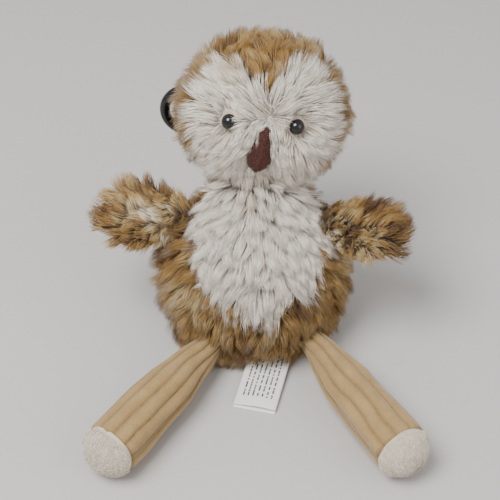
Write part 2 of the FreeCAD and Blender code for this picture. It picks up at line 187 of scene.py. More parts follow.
def new_mesh(name, points, triangles, uv=None, values=None):
    """A mesh from arrays: points in metres, a UV map with one place per point, and named values per point."""
    mesh = bpy.data.meshes.new(name)
    mesh.vertices.add(len(points))
    mesh.vertices.foreach_set("co", points.astype(np.float32).ravel())
    mesh.loops.add(triangles.size)
    mesh.loops.foreach_set("vertex_index", triangles.astype(np.int32).ravel())
    mesh.polygons.add(len(triangles))
    mesh.polygons.foreach_set("loop_start", np.arange(0, triangles.size, 3, dtype=np.int32))
    mesh.update(calc_edges=True)
    mesh.shade_smooth()
    if uv is not None:
        layer = mesh.uv_layers.new(name="OFBake")
        layer.data.foreach_set("uv", uv[triangles.ravel()].astype(np.float32).ravel())
    for key, array in (values or {}).items():
        attribute = mesh.attributes.new(key, "FLOAT", "POINT")
        attribute.data.foreach_set("value", array.astype(np.float32))
    return mesh


def new_piece(name, points, triangles, finish, body, nodes=(), uv=None, values=None):
    """A piece of the toy from points in millimetres, riding on its body and standing for its CAD nodes."""
    mesh = new_mesh(name, points * MM, outward(points, triangles), uv, values)
    mesh.materials.append(bpy.data.materials[finish])
    piece = bpy.data.objects.new(name, mesh)
    bpy.context.scene.collection.objects.link(piece)
    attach(piece, body)
    if nodes:
        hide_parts(*nodes)
    return piece


def tube_triangles(rings, around):
    """The faces of rings of points, each with so many round, closed by a pole before and one after them."""
    i, j = np.meshgrid(np.arange(rings - 1), np.arange(around), indexing="ij")
    a = (i * around + j).ravel() + 1
    b = (i * around + (j + 1) % around).ravel() + 1
    sides = [np.stack([a, b, b + around], 1), np.stack([a, b + around, a + around], 1)]
    j = np.arange(around)
    last = (rings - 1) * around + 1
    start = np.stack([0 * j, (j + 1) % around + 1, j + 1], 1)
    end = np.stack([0 * j + rings * around + 1, last + j, last + (j + 1) % around], 1)
    return np.concatenate([*sides, start, end])


def tube_points(rings):
    """Rings of points as one array, with a pole at the middle of the first and of the last ring."""
    return np.concatenate([rings[0].mean(0)[None], rings.reshape(-1, 3), rings[-1].mean(0)[None]])


def ellipses(width, depth, height, around):
    """Rings round Z: at each height, X is width times cosine and Y depth times sine of an even angle."""
    a = np.arange(around) * math.tau / around
    x = width[:, None] * np.cos(a)
    y = depth[:, None] * np.sin(a)
    return np.stack([x, y, np.repeat(height[:, None], around, axis=1)], axis=2)


def outline(low_round, low_middle, high_round, high_middle, count):
    """(radius, height) at even steps along the outline of two balls on Z and the cone that touches both."""
    lean_in = math.asin((high_round - low_round) / (high_middle - low_middle))
    a = np.linspace(-math.pi / 2, -lean_in, 300)
    b = np.linspace(-lean_in, math.pi / 2, 300)
    radius = np.concatenate([low_round * np.cos(a), high_round * np.cos(b)])
    height = np.concatenate([low_middle + low_round * np.sin(a), high_middle + high_round * np.sin(b)])
    return even_steps(radius, height, count)


def even_steps(radius, height, count):
    """The same line at even steps of its own length, half a step in from both ends."""
    far = np.concatenate([[0], np.cumsum(np.hypot(np.diff(radius), np.diff(height)))])
    steps = np.linspace(far[-1] / count / 2, far[-1] * (1 - 1 / count / 2), count)
    return np.interp(steps, far, radius), np.interp(steps, far, height)


def torso_form(wall):
    """The torso's outline turned round the toy's long axis, smaller by a wall, pressed flat on the floor."""
    radius, height = outline(SEAT_ROUND - wall, SEAT_RISE, CHEST_ROUND - wall, CHEST_RISE, 48)
    points = put(tube_points(ellipses(radius, radius, height, 64)), TOY)
    points[:, 2] = np.maximum(points[:, 2], 0.4)
    return points, tube_triangles(48, 64)


def head_form(wall):
    """Two balls side by side and what joins them: an outline of equal rounds turned round the head's X."""
    radius = HEAD_ROUND - wall
    half = HEAD_WIDENING / 2
    radii, height = outline(radius, -half, radius + 1e-6, half, 48)
    rings = ellipses(radii, radii, height, 64)[:, :, [2, 0, 1]]
    return put(tube_points(rings), HEAD), tube_triangles(48, 64)


def wing_rings(wall, rows, around):
    """A drop in front view; its thickness rises from its rims as a quarter circle does, to half its width."""
    tip_middle = WING_LENGTH - WING_TIP
    width, height = outline(WING_ROOT - wall, WING_START, WING_TIP - wall, tip_middle, rows)
    crown = np.clip(width / 6.5, 0, 1)
    depth = (WING_THICKNESS / 2 - wall) * np.sqrt(1 - (1 - crown) ** 2)
    return ellipses(width, depth, height, around)


def leg_rings(wall, rows, around):
    """Two outlines in a row, hip to thigh and thigh to foot, turned round the leg's axis."""
    foot_middle = LEG_LENGTH - LEG_FOOT
    thigh = LEG_THIGH - wall
    upper = outline(LEG_ROOT - wall, LEG_START, thigh, LEG_THIGH_START, 600)
    lower = outline(thigh, LEG_THIGH_START, LEG_FOOT - wall, foot_middle, 600)
    height = np.linspace(upper[1].min(), lower[1].max(), 1200)
    above = np.interp(height, upper[1], upper[0], right=0)
    below = np.interp(height, lower[1], lower[0], left=0)
    radius = np.maximum(above, below)
    radius, height = even_steps(radius, height, rows)
    return ellipses(radius, radius, height, around)


# ---- padding by cloth simulation -----------------------------------------------------------------------
def solved(points, triangles, held, cap, pressure):
    """Points after the closed cloth is blown up for 20 steps with its held points still; none moves past cap.

    Lengths are in millimetres. The cloth is simulated SIM_SCALE times larger than life.
    """
    scale = MM * SIM_SCALE
    mesh = new_mesh("cloth", points * scale, outward(points, triangles))
    cloth = bpy.data.objects.new("cloth", mesh)
    bpy.context.scene.collection.objects.link(cloth)
    group = cloth.vertex_groups.new(name="held")
    group.add(np.flatnonzero(held).tolist(), 1.0, "REPLACE")
    modifier = cloth.modifiers.new("cloth", "CLOTH")
    settings = modifier.settings
    settings.quality = 6
    settings.mass = 0.1
    settings.tension_stiffness = 12
    settings.compression_stiffness = 6
    settings.shear_stiffness = 4
    settings.bending_stiffness = 0.2
    settings.air_damping = 2
    settings.use_pressure = True
    settings.uniform_pressure_force = pressure
    settings.effector_weights.gravity = 0
    settings.vertex_group_mass = "held"
    modifier.point_cache.frame_start = 1
    modifier.point_cache.frame_end = 20
    for step in range(1, 21):
        bpy.context.scene.frame_set(step)
    found = cloth.evaluated_get(bpy.context.evaluated_depsgraph_get()).to_mesh()
    moved = np.zeros(len(points) * 3, np.float32)
    found.vertices.foreach_get("co", moved)
    bpy.context.scene.frame_set(1)
    bpy.data.objects.remove(cloth)
    bpy.data.meshes.remove(mesh)
    shift = moved.reshape(-1, 3).astype(float) / scale - points
    far = np.linalg.norm(shift, axis=1, keepdims=True)
    if not np.isfinite(far).all():
        raise RuntimeError("the cloth simulation gave points that are not numbers")
    return points + shift * np.minimum(1, cap / np.maximum(far, 1e-9))


def remeshed(points, triangles, voxel):
    """The same shell in even faces, from Blender's voxel remesh, as arrays in millimetres."""
    mesh = new_mesh("shell", points * MM, outward(points, triangles))
    shell = bpy.data.objects.new("shell", mesh)
    bpy.context.scene.collection.objects.link(shell)
    modifier = shell.modifiers.new("remesh", "REMESH")
    modifier.mode = "VOXEL"
    modifier.voxel_size = voxel * MM
    found = shell.evaluated_get(bpy.context.evaluated_depsgraph_get()).to_mesh()
    found.calc_loop_triangles()
    corners = np.zeros(len(found.loop_triangles) * 3, np.int32)
    found.loop_triangles.foreach_get("vertices", corners)
    places = np.zeros(len(found.vertices) * 3, np.float32)
    found.vertices.foreach_get("co", places)
    bpy.data.objects.remove(shell)
    bpy.data.meshes.remove(mesh)
    return places.reshape(-1, 3).astype(float) / MM, corners.reshape(-1, 3)


# ---- pile ----------------------------------------------------------------------------------------------
def point_normals(points, triangles):
    """The unit sum of the area normals of the faces round each point."""
    triangles = outward(points, triangles)
    a, b, c = (points[triangles[:, i]] for i in range(3))
    area = np.cross(b - a, c - a)
    total = np.zeros_like(points)
    for i in range(3):
        np.add.at(total, triangles[:, i], area)
    return unit(total)


def sown(points, triangles, per_mm2, seed):
    """Even random places on a shell and its normals there: faces drawn by area, then corners weighted."""
    random = np.random.default_rng(seed)
    normals = point_normals(points, triangles)
    a, b, c = (points[triangles[:, i]] for i in range(3))
    area = np.linalg.norm(np.cross(b - a, c - a), axis=1) / 2
    count = int(area.sum() * per_mm2)
    face = np.searchsorted(np.cumsum(area) / area.sum(), random.random(count))
    face = np.minimum(face, len(area) - 1)
    u, v = random.random((2, count))
    over = u + v > 1
    u, v = np.where(over, 1 - u, u), np.where(over, 1 - v, v)
    share = np.stack([1 - u - v, u, v], 1)[:, :, None]
    corner = triangles[face]
    return (points[corner] * share).sum(1), unit((normals[corner] * share).sum(1))


def nearest(points, centres):
    """For each point, the number of the nearest centre."""
    found = []
    for part in np.array_split(points, max(1, len(points) * len(centres) // 4000000)):
        gap = (part**2).sum(1)[:, None] - 2 * part @ centres.T + (centres**2).sum(1)
        found.append(gap.argmin(1))
    return np.concatenate(found)


def pile(roots, normals, flow, length, shade, seed, lock=3.4, gather=0.8, steep=62, lying=18,
         wild=0.30, thick=0.14, draw=1.8, most=11800, floor=0.25):
    """Strands of pile, as (points, triangles, UV), gathered into pointed locks.

    A strand starts along d0, which stands steep degrees out of the cloth, and ends along d1, which stands
    lying degrees out, both over the flow: its point at s is root + length (s d0 + s^2 (d1 - d0) / 2). Each
    lock has one such guide, and a strand is drawn to it by gather times s^draw. Each strand is a three-sided
    spike of three rings and a tip. U is its shade, from 0 palest to 1 darkest, and V runs from root to tip.
    """
    random = np.random.default_rng(seed)
    locks = max(8, int(len(roots) / SOWN_PER_MM2 / lock**2))
    roots, normals, flow, length, shade = (a[:most] for a in (roots, normals, flow, length, shade))
    count = len(roots)
    chosen = random.choice(count, min(locks, count), replace=False)
    lock_of = nearest(roots, roots[chosen])
    tint = random.normal(0, 0.055, len(chosen))[lock_of] + random.normal(0, 0.035, count)
    longer = random.uniform(0.78, 1.18, len(chosen))
    sway = random.normal(0, wild, (len(chosen), 3))
    own = random.normal(0, wild * 0.55, (count, 3))
    flow = unit(flow) + wild * np.stack([ripple(roots, 9, seed + k) for k in (1, 2, 3)], 1)
    along = unit(flow - (flow * normals).sum(1, keepdims=True) * normals)

    def curve(root, normal, way, far, jitter):
        up, down = math.radians(steep), math.radians(lying)
        start = unit(normal * math.sin(up) + way * math.cos(up) + jitter * 0.6)
        end = unit(normal * math.sin(down) + way * math.cos(down) + jitter)
        s = np.array([0, 0.34, 0.68, 1.0])[None, :, None]
        return root[:, None] + far[:, None, None] * (s * start[:, None] + s * s * (end - start)[:, None] / 2)

    reach = length * random.uniform(0.82, 1.08, count)
    single = curve(roots, normals, along, reach, own)
    guide = curve(roots[chosen], normals[chosen], along[chosen], length[chosen] * longer, sway)[lock_of]
    pull = gather * np.array([0, 0.34, 0.68, 1.0]) ** draw
    stray = random.random(count) < 0.10
    pull = np.where(stray[:, None], 0.25, 1.0) * pull
    line = single + (guide - single) * pull[:, :, None] * np.array([0, 1, 1, 1])[None, :, None]
    line[:, :, 2] = np.maximum(line[:, :, 2], floor)

    ahead = unit(np.diff(line, axis=1, append=line[:, -1:] * 2 - line[:, -2:-1]))
    spin = random.random(count) * math.tau
    side = unit(np.cross(ahead, normals[:, None] + 0.01))
    over = np.cross(side, ahead)
    girth = thick * random.uniform(0.75, 1.25, count)[:, None] * np.array([1.0, 0.95, 0.62])
    corner = spin[:, None] + np.arange(3) * math.tau / 3
    cosine, sine = np.cos(corner)[:, None, :, None], np.sin(corner)[:, None, :, None]
    ring = side[:, :3, None] * cosine + over[:, :3, None] * sine
    rings = line[:, :3, None] + ring * girth[:, :, None, None]
    points = np.concatenate([rings.reshape(count, 9, 3), line[:, 3:4]], axis=1).reshape(-1, 3)

    one = [[0, 2, 1]]
    for low in (0, 3):
        for k in range(3):
            n = (k + 1) % 3
            one += [[low + k, low + n, low + 3 + n], [low + k, low + 3 + n, low + 3 + k]]
    one += [[6 + k, 6 + (k + 1) % 3, 9] for k in range(3)]
    triangles = (np.array(one)[None] + 10 * np.arange(count)[:, None, None]).reshape(-1, 3)

    u = np.clip(shade + tint, 0.02, 0.98)
    wide = np.array([-0.004, 0.004, 0.0] * 3 + [0.0])
    v = np.array([0.02] * 3 + [0.34] * 3 + [0.68] * 3 + [0.98])
    uv = np.stack([u[:, None] + wide, np.repeat(v[None], count, axis=0)], 2).reshape(-1, 2)
    return points, triangles, uv


# ---- finishes ------------------------------------------------------------------------------------------
def add(tree, kind, inputs=None, stops=None, **settings):
    """Adds a node with its settings; inputs gives sockets a value or a link; stops gives a ramp its colours."""
    node = tree.nodes.new(kind)
    for key, value in settings.items():
        setattr(node, key, value)
    for key, value in (inputs or {}).items():
        if isinstance(value, bpy.types.NodeSocket):
            tree.links.new(value, node.inputs[key])
        else:
            node.inputs[key].default_value = value
    if stops:
        elements = node.color_ramp.elements
        while len(elements) < len(stops):
            elements.new(1.0)
        for element, (position, colour) in zip(elements, stops):
            element.position = position
            element.color = linear(colour) if isinstance(colour, str) else colour
    return node


def finish(name, **constants):
    """(tree, shader) of a new material whose Principled shader has these constant values."""
    material = bpy.data.materials.new(name)
    material.use_nodes = True
    tree = material.node_tree
    shader = tree.nodes["Principled BSDF"]
    for key, value in constants.items():
        shader.inputs[key.replace("_", " ")].default_value = value
    return tree, shader


def long_pile_finish(colours):
    """Acrylic long pile, dyed in the fibre: soft and matt, each strand its own shade, and darker towards its
    roots as painted shade deep in the pile, so paler at its tips.
    """
    tree, shader = finish("dyed acrylic long pile", Roughness=0.78, IOR=1.49,
                          Sheen_Weight=0.25, Sheen_Roughness=0.45)
    where = add(tree, "ShaderNodeUVMap", uv_map="OFBake")
    split = add(tree, "ShaderNodeSeparateXYZ", {0: where.outputs["UV"]})
    shade = add(tree, "ShaderNodeValToRGB", {0: split.outputs["X"]}, stops=[
        (0.0, colours.white_pile), (0.22, colours.cream_pile), (0.42, colours.beige_pile),
        (0.66, colours.golden_pile), (0.84, colours.brown_pile), (1.0, colours.dark_pile),
    ])
    # painted shade deep in the pile: the colour darkens from the tips down to the roots
    depth = add(tree, "ShaderNodeValToRGB", {0: split.outputs["Y"]}, stops=[
        (0.0, "#7d6f62"), (0.35, "#bdb3a8"), (0.7, "#ffffff"), (1.0, "#ffffff"),
    ])
    # dyed: how much of the painted root shade a strand takes, a fifth of it on the palest strands and all of it
    # on the brown
    dyed = add(tree, "ShaderNodeMapRange", {"Value": split.outputs["X"], "From Min": 0.1, "From Max": 0.7,
                                            "To Min": 0.2, "To Max": 1.0})
    both = add(tree, "ShaderNodeMix", {0: dyed.outputs[0], 6: shade.outputs[0], 7: depth.outputs[0]},
               data_type="RGBA", blend_type="MULTIPLY")
    tree.links.new(both.outputs[2], shader.inputs["Base Color"])


def backing_finish():
    """Knitted backing of the pile, seen only between locks: dull, in the tone of the pile on it but painted
    darker, as the shade that falls between the locks.
    """
    tree, shader = finish("knitted pile backing", Roughness=0.95, IOR=1.45)
    shade = add(tree, "ShaderNodeAttribute", attribute_name="shade")
    # painted shade between the locks: each tone of the backing is darker than the pile of the same tone
    ramp = add(tree, "ShaderNodeValToRGB", {0: shade.outputs["Fac"]}, stops=[
        (0.0, "#c9c1b8"), (0.4, "#a98a60"), (0.8, "#6b4a22"), (1.0, "#4a3016"),
    ])
    tree.links.new(ramp.outputs[0], shader.inputs["Base Color"])
    where = add(tree, "ShaderNodeTexCoord")
    knit = add(tree, "ShaderNodeTexNoise", {
        "Vector": where.outputs["Object"], "Scale": 1 / 0.0006, "Detail": 3.0, "Roughness": 0.6})
    lift = add(tree, "ShaderNodeBump", {"Height": knit.outputs["Fac"], "Strength": 0.6, "Distance": 0.0003})
    tree.links.new(lift.outputs["Normal"], shader.inputs["Normal"])


def short_pile_finish(name, high, low, grain, sheen=0.35, roughness=0.88, depth=0.0003):
    """Short cut pile, brushed: each tuft catches the light a little differently, with a soft bright edge.

    Tufts are as wide as the grain, and brushed patches are 14 of them wide.
    """
    tree, shader = finish(name, Roughness=roughness, IOR=1.46, Sheen_Weight=sheen, Sheen_Roughness=0.4)
    where = add(tree, "ShaderNodeTexCoord").outputs["Object"]
    tufts = add(tree, "ShaderNodeTexNoise", {
        "Vector": where, "Scale": 1 / grain, "Detail": 4.0, "Roughness": 0.7})
    patches = add(tree, "ShaderNodeTexNoise", {
        "Vector": where, "Scale": 1 / (grain * 14), "Detail": 2.0, "Roughness": 0.6})
    mixed = add(tree, "ShaderNodeMix", {0: 0.45, 2: tufts.outputs["Fac"], 3: patches.outputs["Fac"]},
                data_type="FLOAT")
    ramp = add(tree, "ShaderNodeValToRGB", {0: mixed.outputs[0]}, stops=[(0.32, low), (0.66, high)])
    tree.links.new(ramp.outputs[0], shader.inputs["Base Color"])
    lift = add(tree, "ShaderNodeBump", {"Height": tufts.outputs["Fac"], "Strength": 0.6, "Distance": depth})
    tree.links.new(lift.outputs["Normal"], shader.inputs["Normal"])
    return tree, shader, ramp


def corduroy_finish(colours):
    """Wide-wale corduroy plush: brushed ribs, darker down in the grooves, partly where the pile is thin and
    partly painted shade, and painted shade along the seams.
    """
    tree, shader, ramp = short_pile_finish(
        "brushed wide-wale corduroy", colours.corduroy_high, colours.corduroy_low, 0.0007, depth=0.00035)
    # painted shade, partly the thin pile in the grooves: the groove value darkens the colour towards #79603a in
    # the grooves, along the seams and at the toe seam
    groove = add(tree, "ShaderNodeAttribute", attribute_name="groove")
    thin_pile_and_painted_shade = add(tree, "ShaderNodeMix", {0: groove.outputs["Fac"], 6: ramp.outputs[0], 7: linear("#79603a")},
               data_type="RGBA")
    tree.links.new(thin_pile_and_painted_shade.outputs[2], shader.inputs["Base Color"])


def plastic_finish(name, colour, roughness, specular=0.5, grain=0.0004, depth=0.00002):
    """Injection-moulded plastic: an even colour under a gloss that fine mould marks break up a little."""
    tree, shader = finish(name, IOR=1.5, Specular_IOR_Level=specular)
    where = add(tree, "ShaderNodeTexCoord").outputs["Object"]
    fine = add(tree, "ShaderNodeTexNoise", {
        "Vector": where, "Scale": 1 / grain, "Detail": 3.0, "Roughness": 0.6}).outputs["Fac"]
    broad = add(tree, "ShaderNodeTexNoise", {
        "Vector": where, "Scale": 1 / (grain * 20), "Detail": 3.0, "Roughness": 0.6}).outputs["Fac"]
    tint = add(tree, "ShaderNodeValToRGB", {0: broad}, stops=[
        (0.3, colour), (0.7, [min(1.0, c * 1.25 + 0.002) for c in linear(colour)[:3]] + [1.0])])
    tree.links.new(tint.outputs[0], shader.inputs["Base Color"])
    gloss = add(tree, "ShaderNodeMapRange", {
        "Value": fine, "To Min": roughness * 0.8, "To Max": roughness * 1.25})
    tree.links.new(gloss.outputs[0], shader.inputs["Roughness"])
    lift = add(tree, "ShaderNodeBump", {"Height": fine, "Strength": 0.3, "Distance": depth})
    tree.links.new(lift.outputs["Normal"], shader.inputs["Normal"])


def label_finish(colours):
    """Woven satin ribbon, printed: a faint shine, fine threads, and plain broken bars in place of any text."""
    tree, shader = finish("printed satin ribbon", Roughness=0.5, IOR=1.5, Sheen_Weight=0.2)
    where = add(tree, "ShaderNodeUVMap", uv_map="OFBake")
    split = add(tree, "ShaderNodeSeparateXYZ", {0: where.outputs["UV"]})
    across, along = split.outputs["X"], split.outputs["Y"]
    rows = add(tree, "ShaderNodeMath", {0: across, 1: 9.0}, operation="MULTIPLY")
    row = add(tree, "ShaderNodeMath", {0: rows.outputs[0]}, operation="FLOOR")
    inside = add(tree, "ShaderNodeMath", {0: rows.outputs[0]}, operation="FRACT")
    bar = add(tree, "ShaderNodeMath", {0: inside.outputs[0], 1: 0.5, 2: 0.17}, operation="COMPARE")
    place = add(tree, "ShaderNodeCombineXYZ", {0: row.outputs[0]})
    step = add(tree, "ShaderNodeMath", {0: along, 1: 46.0}, operation="MULTIPLY")
    tree.links.new(step.outputs[0], place.inputs[1])
    dash = add(tree, "ShaderNodeTexNoise", {"Vector": place.outputs[0], "Scale": 1.0, "Detail": 0.0})
    dash = add(tree, "ShaderNodeMath", {0: dash.outputs["Fac"], 1: 0.44}, operation="GREATER_THAN")
    low = add(tree, "ShaderNodeMath", {0: along, 1: 0.73, 2: 0.19}, operation="COMPARE")
    edge = add(tree, "ShaderNodeMath", {0: across, 1: 0.5, 2: 0.42}, operation="COMPARE")
    ink = add(tree, "ShaderNodeMath", {0: bar.outputs[0], 1: dash.outputs[0]}, operation="MULTIPLY")
    ink = add(tree, "ShaderNodeMath", {0: ink.outputs[0], 1: low.outputs[0]}, operation="MULTIPLY")
    ink = add(tree, "ShaderNodeMath", {0: ink.outputs[0], 1: edge.outputs[0]}, operation="MULTIPLY")
    printed = add(tree, "ShaderNodeMix", {0: ink.outputs[0], 6: list(colours.label), 7: linear("#4b4844")},
                  data_type="RGBA")
    tree.links.new(printed.outputs[2], shader.inputs["Base Color"])
    threads = add(tree, "ShaderNodeTexWave", {"Vector": where.outputs["UV"], "Scale": 30.0, "Distortion": 1.0})
    lift = add(tree, "ShaderNodeBump", {
        "Height": threads.outputs["Fac"], "Strength": 0.4, "Distance": 0.00008})
    tree.links.new(lift.outputs["Normal"], shader.inputs["Normal"])


def webbing_finish():
    """Woven polypropylene webbing: a slightly shiny black with ribs across it, their tops painted paler and the
    dips between them darker, as painted light and shade.
    """
    tree, shader = finish("woven polypropylene webbing", Roughness=0.55, IOR=1.49, Sheen_Weight=0.15)
    where = add(tree, "ShaderNodeUVMap", uv_map="OFBake")
    stretch = add(tree, "ShaderNodeMapping", {"Vector": where.outputs["UV"], "Scale": (6.0, 46.0, 1.0)})
    ribs = add(tree, "ShaderNodeTexWave", {"Vector": stretch.outputs[0], "Scale": 0.35, "Distortion": 0.6},
               bands_direction="Y")
    # painted light and shade: the rib tops are painted paler and the dips between the ribs darker
    ramp = add(tree, "ShaderNodeValToRGB", {0: ribs.outputs["Fac"]}, stops=[(0.2, "#0b0b0c"), (0.9, "#26272a")])
    tree.links.new(ramp.outputs[0], shader.inputs["Base Color"])
    lift = add(tree, "ShaderNodeBump", {"Height": ribs.outputs["Fac"], "Strength": 0.6, "Distance": 0.0003})
    tree.links.new(lift.outputs["Normal"], shader.inputs["Normal"])


def steel_finish():
    """Drawn spring steel: bright, with fine lines along the draw."""
    tree, shader = finish("drawn spring steel", Metallic=1.0)
    where = add(tree, "ShaderNodeTexCoord").outputs["Object"]
    fine = add(tree, "ShaderNodeTexNoise", {
        "Vector": where, "Scale": 1 / 0.0003, "Detail": 3.0, "Roughness": 0.6}).outputs["Fac"]
    ramp = add(tree, "ShaderNodeValToRGB", {0: fine}, stops=[(0.3, "#8f9296"), (0.7, "#b9bcc0")])
    tree.links.new(ramp.outputs[0], shader.inputs["Base Color"])
    gloss = add(tree, "ShaderNodeMapRange", {"Value": fine, "To Min": 0.2, "To Max": 0.4})
    tree.links.new(gloss.outputs[0], shader.inputs["Roughness"])


def make_finishes(colours):
    """Every finish of the toy and its stage, by name in bpy.data.materials."""
    long_pile_finish(colours)
    backing_finish()
    corduroy_finish(colours)
    short_pile_finish("brushed toe plush", "#d6ccb8", "#b2a691", 0.0006)
    short_pile_finish("tan wing velour", "#b99a68", "#937545", 0.0005)
    short_pile_finish("red-brown beak velour", "#5f2b1f", "#35140e", 0.0005, sheen=0.25)
    short_pile_finish("gathered tricot", "#a5814f", "#7c5a30", 0.0008)
    short_pile_finish("polyester filling", "#f0efec", "#d5d3cf", 0.0012)
    plastic_finish("polished black eye plastic", "#060607", 0.07, 0.6, depth=0.000004)
    plastic_finish("moulded nylon washer", "#dcdad4", 0.45)
    plastic_finish("moulded black acetal", "#0a0a0b", 0.2, 0.55)
    label_finish(colours)
    webbing_finish()
    steel_finish()
    tree, shader = finish("matt paper floor", Roughness=0.9, Specular_IOR_Level=0.15)
    where = add(tree, "ShaderNodeTexCoord").outputs["Object"]
    grain = add(tree, "ShaderNodeTexNoise", {
        "Vector": where, "Scale": 1 / 0.004, "Detail": 3.0, "Roughness": 0.6})
    ramp = add(tree, "ShaderNodeValToRGB", {0: grain.outputs["Fac"]}, stops=[
        (0.2, colours.floor), (0.8, [min(1.0, c * 1.03) for c in colours.floor[:3]] + [1.0])])
    tree.links.new(ramp.outputs[0], shader.inputs["Base Color"])


# ---- torso ---------------------------------------------------------------------------------------------
def blown(form, voxel, cap, pressure, held):
    """A form's shell in even faces, blown up by its filling, with the seams that held marks kept in place."""
    points, triangles = remeshed(*form, voxel)
    return solved(points, triangles, held(points), cap, pressure), outward(points, triangles)


def backing(name, points, triangles, shade, body, nodes):
    """The padded form under the pile; shade gives each point the pile's own shade."""
    piece = new_piece(name, points, triangles, "knitted pile backing", body, nodes,
                      values={"shade": shade})
    return piece


def pile_piece(name, roots, normals, flow, length, shade, body, nodes, slot, seed, **style):
    """One sewn panel's pile as a piece of its own."""
    points, triangles, uv = pile(roots, normals, flow, length, shade, seed, **style)
    return new_piece(name, points, triangles, "dyed acrylic long pile", body, nodes, uv=uv)


def torso_shade(points):
    """White in an oval from the belly up to the neck, and brown in patches elsewhere."""
    local = taken(points, TOY)
    from_belly = np.hypot((local[:, 0] - 0.5) / 21.5, (local[:, 2] - 50.0) / 24.0) + 0.07 * ripple(points, 7, 5)
    white = (local[:, 1] < 0) & (from_belly < 1.0)
    brown = 0.70 + 0.10 * ripple(points, 10, 6) + 0.07 * ripple(points, 4, 7)
    return np.where(white, 0.03, brown), white


def make_torso(sizes):
    """The padded torso, with the pile of its belly, front and back panels combed down and outwards."""
    def seams(points):
        local = taken(points, TOY)
        ring = np.abs(np.hypot(local[:, 0], local[:, 2] - 37.0) - 26.0) < 1.2
        return (np.abs(local[:, 1]) < 1.2) | (ring & (local[:, 1] < 0)) | (points[:, 2] < 1.0)

    points, triangles = blown(torso_form(1.2), 2.6, 1.8, 3.0, seams)
    points[:, 2] = np.maximum(points[:, 2], 0.4)
    shade, _ = torso_shade(points)
    backing("torso_padding", points, triangles, shade, "torso", ["body_stuffing"])
    roots, normals = sown(points, triangles, SOWN_PER_MM2, 11)
    keep = ~((normals[:, 2] < -0.6) & (roots[:, 2] < 1.5))
    roots, normals = roots[keep], normals[keep]
    shade, white = torso_shade(roots)
    local = taken(roots, TOY)
    flow = np.stack([local[:, 0] * 0.042, local[:, 1] * 0.03, -1.0 - 0 * local[:, 2]], 1)
    flow = put(flow, (TOY[0], np.zeros(3)))
    flow = flow + np.stack([0 * shade, np.where(local[:, 1] < 0, -0.45, 0.2), 0 * shade], 1)
    front = ~white & (local[:, 1] < 0)
    back = ~white & (local[:, 1] >= 0)
    length = sizes.body_pile / MM * (1 + 0 * shade)
    length = np.where(white, sizes.belly_pile / MM, length)
    side = smooth(-local[:, 0], 8, 28)
    length = np.where(white, length, length * (1 + 0.32 * side))
    low = smooth(14 - roots[:, 2], 0, 10)
    steep_length = np.where(front, length * (1 + 0.30 * low), length)
    panels = (
        ("belly_pile", white, "belly_panel", "white_plush",
         dict(lock=3.1, lying=9, steep=52, wild=0.22, gather=0.72, draw=1.5, thick=0.12)),
        ("front_pile", front, "body_front_panel", "brown_plush",
         dict(lock=4.2, lying=38, steep=78, wild=0.22, gather=0.6)),
        ("back_pile", back, "body_back_panel", "brown_plush",
         dict(lock=4.2, lying=40, steep=78, wild=0.22, gather=0.6)),
    )
    for seed, (name, mask, node, slot, style) in enumerate(panels, 20):
        pile_piece(name, roots[mask], normals[mask], flow[mask], steep_length[mask], shade[mask], "torso",
                   [node], slot, seed, **style)


# ---- head ----------------------------------------------------------------------------------------------
def eye_points():
    """The middles of both eyes on the skin, in the head's frame."""
    flare = math.asin((27.0 - HEAD_WIDENING) / 2 / HEAD_ROUND)
    x = HEAD_WIDENING / 2 + HEAD_ROUND * math.sin(flare)
    return [np.array([side * x, -HEAD_ROUND * math.cos(flare), EYE_HEIGHT]) for side in (1, -1)]


BEAK_BASE = np.array([1.5, -27.8, 0.5])  # its upper end, in the head's frame
BEAK_TURN = np.array([[0.988, -0.040, -0.151], [0.0, -0.966, 0.259], [-0.156, -0.256, -0.954]])


